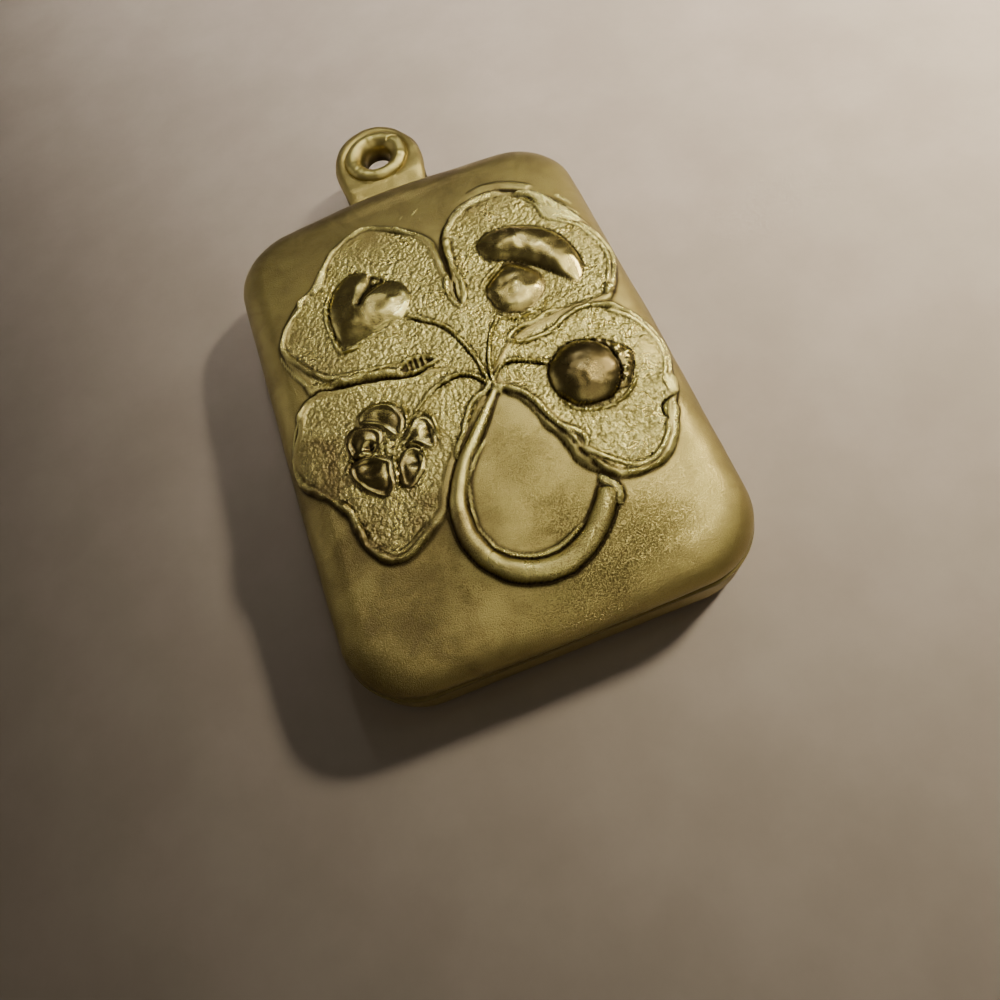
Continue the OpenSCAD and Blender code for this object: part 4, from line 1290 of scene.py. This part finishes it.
class Graph:
    """A node tree, with short ways to add the nodes that the materials use."""

    def __init__(self, tree: Tree, sink: bpy.types.Node) -> None:
        """Wraps a tree.

        Args:
            tree: The node tree.
            sink: The node that takes the results.
        """
        self.tree = tree
        self.sink = sink

    def feed(self, node: bpy.types.Node, values: dict) -> bpy.types.Node:
        """Links or sets inputs of a node.

        Args:
            node: The node.
            values: Sockets, numbers or colours, by the input's name or number.

        Returns:
            The node.
        """
        for place, value in values.items():
            if isinstance(value, Socket):
                self.tree.links.new(value, node.inputs[place])
            else:
                is_color = node.inputs[place].type == "RGBA"
                node.inputs[place].default_value = (*value, 1.0) if is_color else value
        return node

    def add(self, kind: str, values: dict, **settings: object) -> bpy.types.Node:
        """Adds a node.

        Args:
            kind: Type of the node.
            values: Sockets, numbers or colours, by the input's name or number.
            settings: Values of the node's own properties.

        Returns:
            The node.
        """
        node = self.tree.nodes.new("ShaderNode" + kind)
        for name, value in settings.items():
            setattr(node, name, value)
        return self.feed(node, values)

    def math(self, kind: str, a: object, b: object, clamp: bool = False) -> Socket:
        """Result of an operation on two sockets or numbers, kept from 0 to 1 if clamped."""
        return self.add("Math", {0: a, 1: b}, operation=kind, use_clamp=clamp).outputs[0]

    def total(self, start: object, *terms: tuple, clamp: bool = True) -> Socket:
        """Sum of sockets.

        Args:
            start: Socket or number that the sum starts from.
            terms: Rows of a socket and its weight.
            clamp: Whether the sum is kept from 0 to 1.

        Returns:
            The output socket.
        """
        for value, weight in terms:
            start = self.math("ADD", start, self.math("MULTIPLY", value, weight), clamp)
        return start

    def mix(self, factor: object, a: object, b: object) -> Socket:
        """Mixes two sockets or colours: the first at factor 0, the second at 1."""
        return self.add("Mix", {0: factor, 6: a, 7: b}, data_type="RGBA").outputs[2]

    def noise(self, vector: Socket, cell: float, detail: float = 3.0, rough: float = 0.55,
              warp: float = 0.0) -> Socket:
        """Adds a Noise Texture with features of a given size.

        Args:
            vector: Coordinates, in metres.
            cell: Size of the features, in mm.
            detail: Octaves.
            rough: Weight of the finer octaves.
            warp: Distortion.

        Returns:
            The value socket.
        """
        return self.add("TexNoise", {"Vector": vector, "Scale": 1.0 / (cell * MM), "Detail": detail,
                                     "Roughness": rough, "Distortion": warp}).outputs["Fac"]

    def span(self, value: Socket, low: float, high: float) -> Socket:
        """Maps a value from low..high to 0..1, smoothly."""
        return self.add("MapRange", {"Value": value, "From Min": low, "From Max": high},
                        interpolation_type="SMOOTHSTEP").outputs["Result"]

    def place(self) -> Socket:
        """Coordinates on the piece, in metres."""
        return self.add("TexCoord", {}).outputs["Object"]

    def mask(self, name: str) -> Socket:
        """Reads a piece's own mask."""
        return self.add("Attribute", {}, attribute_name=name).outputs["Fac"]


class Finishes:
    """Materials of the locket and the node groups that they share."""

    def __init__(self) -> None:
        """Builds the shared node groups."""
        self.groups = {Effect.GRAIN: self.grain_group(), Effect.PEBBLES: self.pebble_group(),
                       Effect.TONE: self.tone_group()}

    @staticmethod
    def new_group(effect: Effect, inputs: dict, outputs: dict) -> tuple:
        """Starts a node group.

        Args:
            effect: The effect that the group makes.
            inputs: Type of each input, by name.
            outputs: Type of each output, by name.

        Returns:
            The group's graph and the outputs of its input node.
        """
        tree = bpy.data.node_groups.new(effect.value, "ShaderNodeTree")
        for way, sockets in (("INPUT", inputs), ("OUTPUT", outputs)):
            for label, kind in sockets.items():
                tree.interface.new_socket(label, in_out=way, socket_type="NodeSocket" + kind)
        source = tree.nodes.new("NodeGroupInput")
        return Graph(tree, tree.nodes.new("NodeGroupOutput")), source.outputs

    @staticmethod
    def new_material(name: str) -> tuple:
        """Starts a material and returns it and its graph."""
        material = bpy.data.materials.new(name)
        material.use_nodes = True
        tree = material.node_tree
        return material, Graph(tree, next(n for n in tree.nodes if n.type == "BSDF_PRINCIPLED"))

    def grain_group(self) -> Tree:
        """Fine grain and faint scratches of worn sheet brass."""
        graph, source = self.new_group(
            Effect.GRAIN, {"Vector": "Vector"}, {"Height": "Float", "Blotch": "Float", "Grit": "Float"})
        vector = source["Vector"]
        stretch = graph.add("Mapping", {"Vector": vector, "Rotation": (0.0, 0.0, math.radians(24)),
                                        "Scale": (0.08, 1.0, 0.5)})
        fine = graph.noise(vector, 0.09, 4.0, 0.7)
        scratch = graph.noise(stretch.outputs["Vector"], 0.09, 2.0, 0.5)
        coarse = graph.noise(vector, 0.5, 3.0, 0.6)
        graph.feed(graph.sink, {
            "Height": graph.total(0.0, (fine, 0.6), (scratch, 0.25), (coarse, 0.5), clamp=False),
            "Blotch": graph.noise(vector, 2.2, 5.0, 0.62, 0.6),
            "Grit": graph.noise(vector, 0.075, 2.0, 0.7)})
        return graph.tree

    def pebble_group(self) -> Tree:
        """Matted ground of the leaves: small irregular pebbles."""
        wander, round_off = 0.22 * MM, 0.35
        graph, source = self.new_group(Effect.PEBBLES, {"Vector": "Vector"}, {"Height": "Float"})
        vector = source["Vector"]
        shift = graph.add("VectorMath", {0: graph.noise(vector, 0.6, 2.0), 1: (wander, wander, wander),
                                         2: vector}, operation="MULTIPLY_ADD")
        terms = []
        for cell, weight in ((0.27, -1.0), (0.16, -0.5)):
            node = graph.add("TexVoronoi", {"Vector": shift.outputs[0], "Scale": 1.0 / (cell * MM),
                                            "Smoothness": round_off}, feature="SMOOTH_F1")
            terms.append((node.outputs["Distance"], weight))
        graph.feed(graph.sink, {"Height": graph.total(0.0, *terms, clamp=False)})
        return graph.tree

    def tone_group(self) -> Tree:
        """Colour of aged brass from its masks: lighter where it rubs and where highlights are painted, brown
        where it tarnishes and where dark reflections are painted, painted shade in hollows and grooves.
        """
        colors = {name: "Color" for name in ("Clean", "Worn", "Tarnish", "Dark")}
        factors = {name: "Float" for name in ("Wear", "Dull", "Hollow")}
        graph, source = self.new_group(Effect.TONE, {**colors, **factors}, {"Color": "Color"})
        tone = source["Clean"]
        for factor, color in (("Wear", "Worn"), ("Dull", "Tarnish"), ("Hollow", "Dark")):
            tone = graph.mix(source[factor], tone, source[color])
        graph.feed(graph.sink, {"Color": tone})
        return graph.tree

    def use(self, graph: Graph, effect: Effect, **values: object) -> object:
        """Places a shared group in a material and returns its outputs."""
        return graph.add("Group", values, node_tree=self.groups[effect]).outputs

    def brass(self, finish: BrassFinish) -> bpy.types.Material:
        """Makes a material of raw brass.

        Args:
            finish: Its colours, gloss and grain.

        Returns:
            The material.
        """
        material, graph = self.new_material(finish.name)
        vector = graph.place()
        ground, polish, shade, bright, crest, hollow, tarnish, gritty = (graph.mask(name) for name in (
            "ground", "polish", "shade", "bright", "crest", "hollow", "tarnish", "grit"))
        grain = self.use(graph, Effect.GRAIN, Vector=vector)
        pebbles = self.use(graph, Effect.PEBBLES, Vector=vector)
        blotch = graph.span(grain["Blotch"], 0.35, 0.7)
        patchy = graph.math("MULTIPLY", blotch, graph.total(0.2, (tarnish, 0.35)))
        grit = graph.span(grain["Grit"], 0.42, 0.66)
        grit = graph.math("MULTIPLY", grit, graph.math("ADD", gritty, 0.25))
        # Painted shade: hollows of the relief, grooves and shaded flanks, and, on the back cover, a band just
        # under the front cover's edge.
        dark = graph.total(0.0, (hollow, 0.95), (shade, 0.7))
        if finish.seam_z:
            dark = graph.total(dark, (self.near_seam(graph, vector, finish.seam_z), 0.7))
        # Rims and crests are lighter as rubbed brass and as painted highlight; polish dulls the charms to
        # paint their dark reflections.
        tone = self.use(graph, Effect.TONE, Clean=finish.clean, Worn=finish.worn, Tarnish=finish.tarnish,
                        Dark=finish.dark, Hollow=dark,
                        Wear=graph.total(0.0, (crest, 0.9), (bright, 0.75), (ground, 0.6)),
                        Dull=graph.total(patchy, (tarnish, 0.6), (grit, 0.7), (polish, 0.3)))
        rubbed = graph.math("MAXIMUM", bright, graph.math("MULTIPLY", ground, 0.6))
        change = finish.rubbed_rough - finish.rough
        rough = graph.total(finish.rough, (polish, change), (rubbed, change), (blotch, 0.08))
        calm = graph.total(1.0, (polish, -0.85))
        relief = graph.total(grain["Height"], (grit, -2.4), clamp=False)
        relief = graph.math("MULTIPLY", graph.math("MULTIPLY", relief, calm), finish.grain)
        pebble = graph.math("MULTIPLY", pebbles["Height"], graph.math("MULTIPLY", ground, finish.pebble))
        bump = graph.add("Bump", {"Strength": 1.0, "Distance": finish.bump_mm * MM,
                                  "Height": graph.math("ADD", relief, pebble)})
        graph.feed(graph.sink, {"Metallic": 1.0, "Base Color": tone["Color"], "Roughness": rough,
                                "Normal": bump.outputs["Normal"]})
        return material

    @staticmethod
    def near_seam(graph: Graph, vector: Socket, seam_z: float) -> Socket:
        """How near a place is to the seam between the covers, from 0 to 1, where shade is painted."""
        height = graph.add("SeparateXYZ", {0: vector}).outputs["Z"]
        return graph.span(height, (seam_z - 0.5) * MM, seam_z * MM)

    def table_top(self) -> bpy.types.Material:
        """Makes the plain pale table top."""
        material, graph = self.new_material("pale_table")
        cloud = graph.span(graph.noise(graph.place(), 9.0, 6.0, 0.6), 0.3, 0.75)
        tone = graph.mix(cloud, (0.46, 0.405, 0.365), (0.54, 0.48, 0.44))
        graph.feed(graph.sink, {"Base Color": tone, "Roughness": 0.7, "Specular IOR Level": 0.3})
        return material


@dataclass(frozen=True)
class Softbox:
    """A soft studio light, with its place, size and aim on the table in mm and its spread in degrees.

    A lamp lights matt surfaces and isn't mirrored; any other box is only mirrored.
    """

    name: str
    place: tuple
    size: float
    power: float
    color: tuple
    aim: tuple = (0.0, 0.0)
    spread: float = 120.0
    lamp: bool = False


@dataclass
class Studio:
    """The table, the lights and the camera."""

    table_size: float = 0.8
    room_color: tuple = (0.75, 0.62, 0.46, 1.0)
    room_strength: float = 0.085
    camera_place: tuple = (-1.519, -25.762, 45.116)
    camera_right: tuple = (0.9295, -0.3446, -0.1316)
    camera_up: tuple = (0.3686, 0.8542, 0.3667)
    focal_px: float = 720.0
    picture_px: float = 1000.0
    sensor_mm: float = 36.0
    lights: tuple = (
        Softbox("lamp_right", (182, 70, 140), 36, 0.065, (1, 0.88, 0.66), (68, 16), 35.5, lamp=True),
        Softbox("glint_right", (182, 70, 140), 36, 0.034, (1, 0.9, 0.66), (20, 0), 60),
        Softbox("lamp_above", (40, 178, 162), 40, 0.042, (1, 0.9, 0.76), (20, 78), 36, lamp=True),
        Softbox("window_above", (46, 122, 200), 16, 0.014, (0.84, 0.91, 1)),
        Softbox("ceiling", (128, 102, 290), 216, 0.15, (1, 0.94, 0.68)),
        Softbox("ceiling_left", (10, 188, 290), 110, 0.03, (1, 0.94, 0.7)),
        Softbox("spot", (122, 36, 280), 28, 0.05, (1, 0.95, 0.7)),
        Softbox("glow_right", (196, 20, 240), 54, 0.018, (1, 0.95, 0.7)),
        Softbox("front", (40, -150, 230), 260, 0.1, (1, 0.93, 0.66)),
        Softbox("wall_left", (-250, 150, 90), 220, 0.045, (1, 0.95, 0.76)))

    def build(self, finishes: Finishes) -> None:
        """Sets up the table, the lights and the camera.

        Args:
            finishes: The materials.
        """
        table = add_object("table", bpy.ops.mesh.primitive_plane_add, size=self.table_size)
        clothe(table, finishes.table_top())
        for box in self.lights:
            self.add_light(box)
        world = bpy.data.worlds.new("room")
        bpy.context.scene.world = world
        world.use_nodes = True
        back = next(n for n in world.node_tree.nodes if n.type == "BACKGROUND")
        back.inputs["Color"].default_value = self.room_color
        back.inputs["Strength"].default_value = self.room_strength
        self.add_camera()

    def add_light(self, box: Softbox) -> None:
        """Adds one soft light that faces the locket."""
        place, aim = Vector(box.place) * MM, Vector((*box.aim, 0.0)) * MM
        light = add_object(box.name, bpy.ops.object.light_add, type="AREA", location=place)
        light.data.shape = "DISK"
        light.data.size = box.size * MM
        light.data.energy = box.power
        light.data.color = box.color
        light.data.spread = math.radians(box.spread)
        light.visible_glossy = not box.lamp
        light.visible_diffuse = box.lamp
        light.rotation_euler = (aim - place).to_track_quat("-Z", "Y").to_euler()

    def add_camera(self) -> None:
        """Adds the camera at the photograph's angle."""
        camera = add_object("Camera", bpy.ops.object.camera_add)
        right, up = Vector(self.camera_right).normalized(), Vector(self.camera_up)
        up = (up - right * up.dot(right)).normalized()
        turn = Matrix((right, up, right.cross(up))).transposed().to_4x4()
        camera.matrix_world = Matrix.Translation(Vector(self.camera_place) * MM) @ turn
        camera.data.sensor_width = self.sensor_mm
        camera.data.lens = self.focal_px * self.sensor_mm / self.picture_px
        camera.data.clip_start = MM
        bpy.context.scene.camera = camera


def clothe(piece: Piece, material: bpy.types.Material) -> None:
    """Gives a piece one material and logs what it holds."""
    piece.data.materials.clear()
    piece.data.materials.append(material)
    LOG.info("%s: %d vertices, %d faces", piece.name, len(piece.data.vertices), len(piece.data.polygons))


def main() -> None:
    """Builds the dressed locket."""
    logging.basicConfig(level=logging.INFO, format="%(message)s")
    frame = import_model()
    finishes = Finishes()
    front, eyelet = FrontCover().build(), Eyelet().build()
    for piece, finish in (
            (front, BrassFinish("stamped_brass")),
            (eyelet, BrassFinish("rolled_brass", rough=0.36, grain=0.6)),
            (frame["nodes"]["back_cover"],
             BrassFinish("plain_brass", clean=(0.36, 0.29, 0.12), seam_z=3.4, rough=0.45))):
        clothe(piece, finishes.brass(finish))
    for piece, body, node in ((front, "front", "front_cover"), (eyelet, "back", "eyelet")):
        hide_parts(node)
        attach(piece, body)
    Studio().build(finishes)


if __name__ == "__main__":
    main()
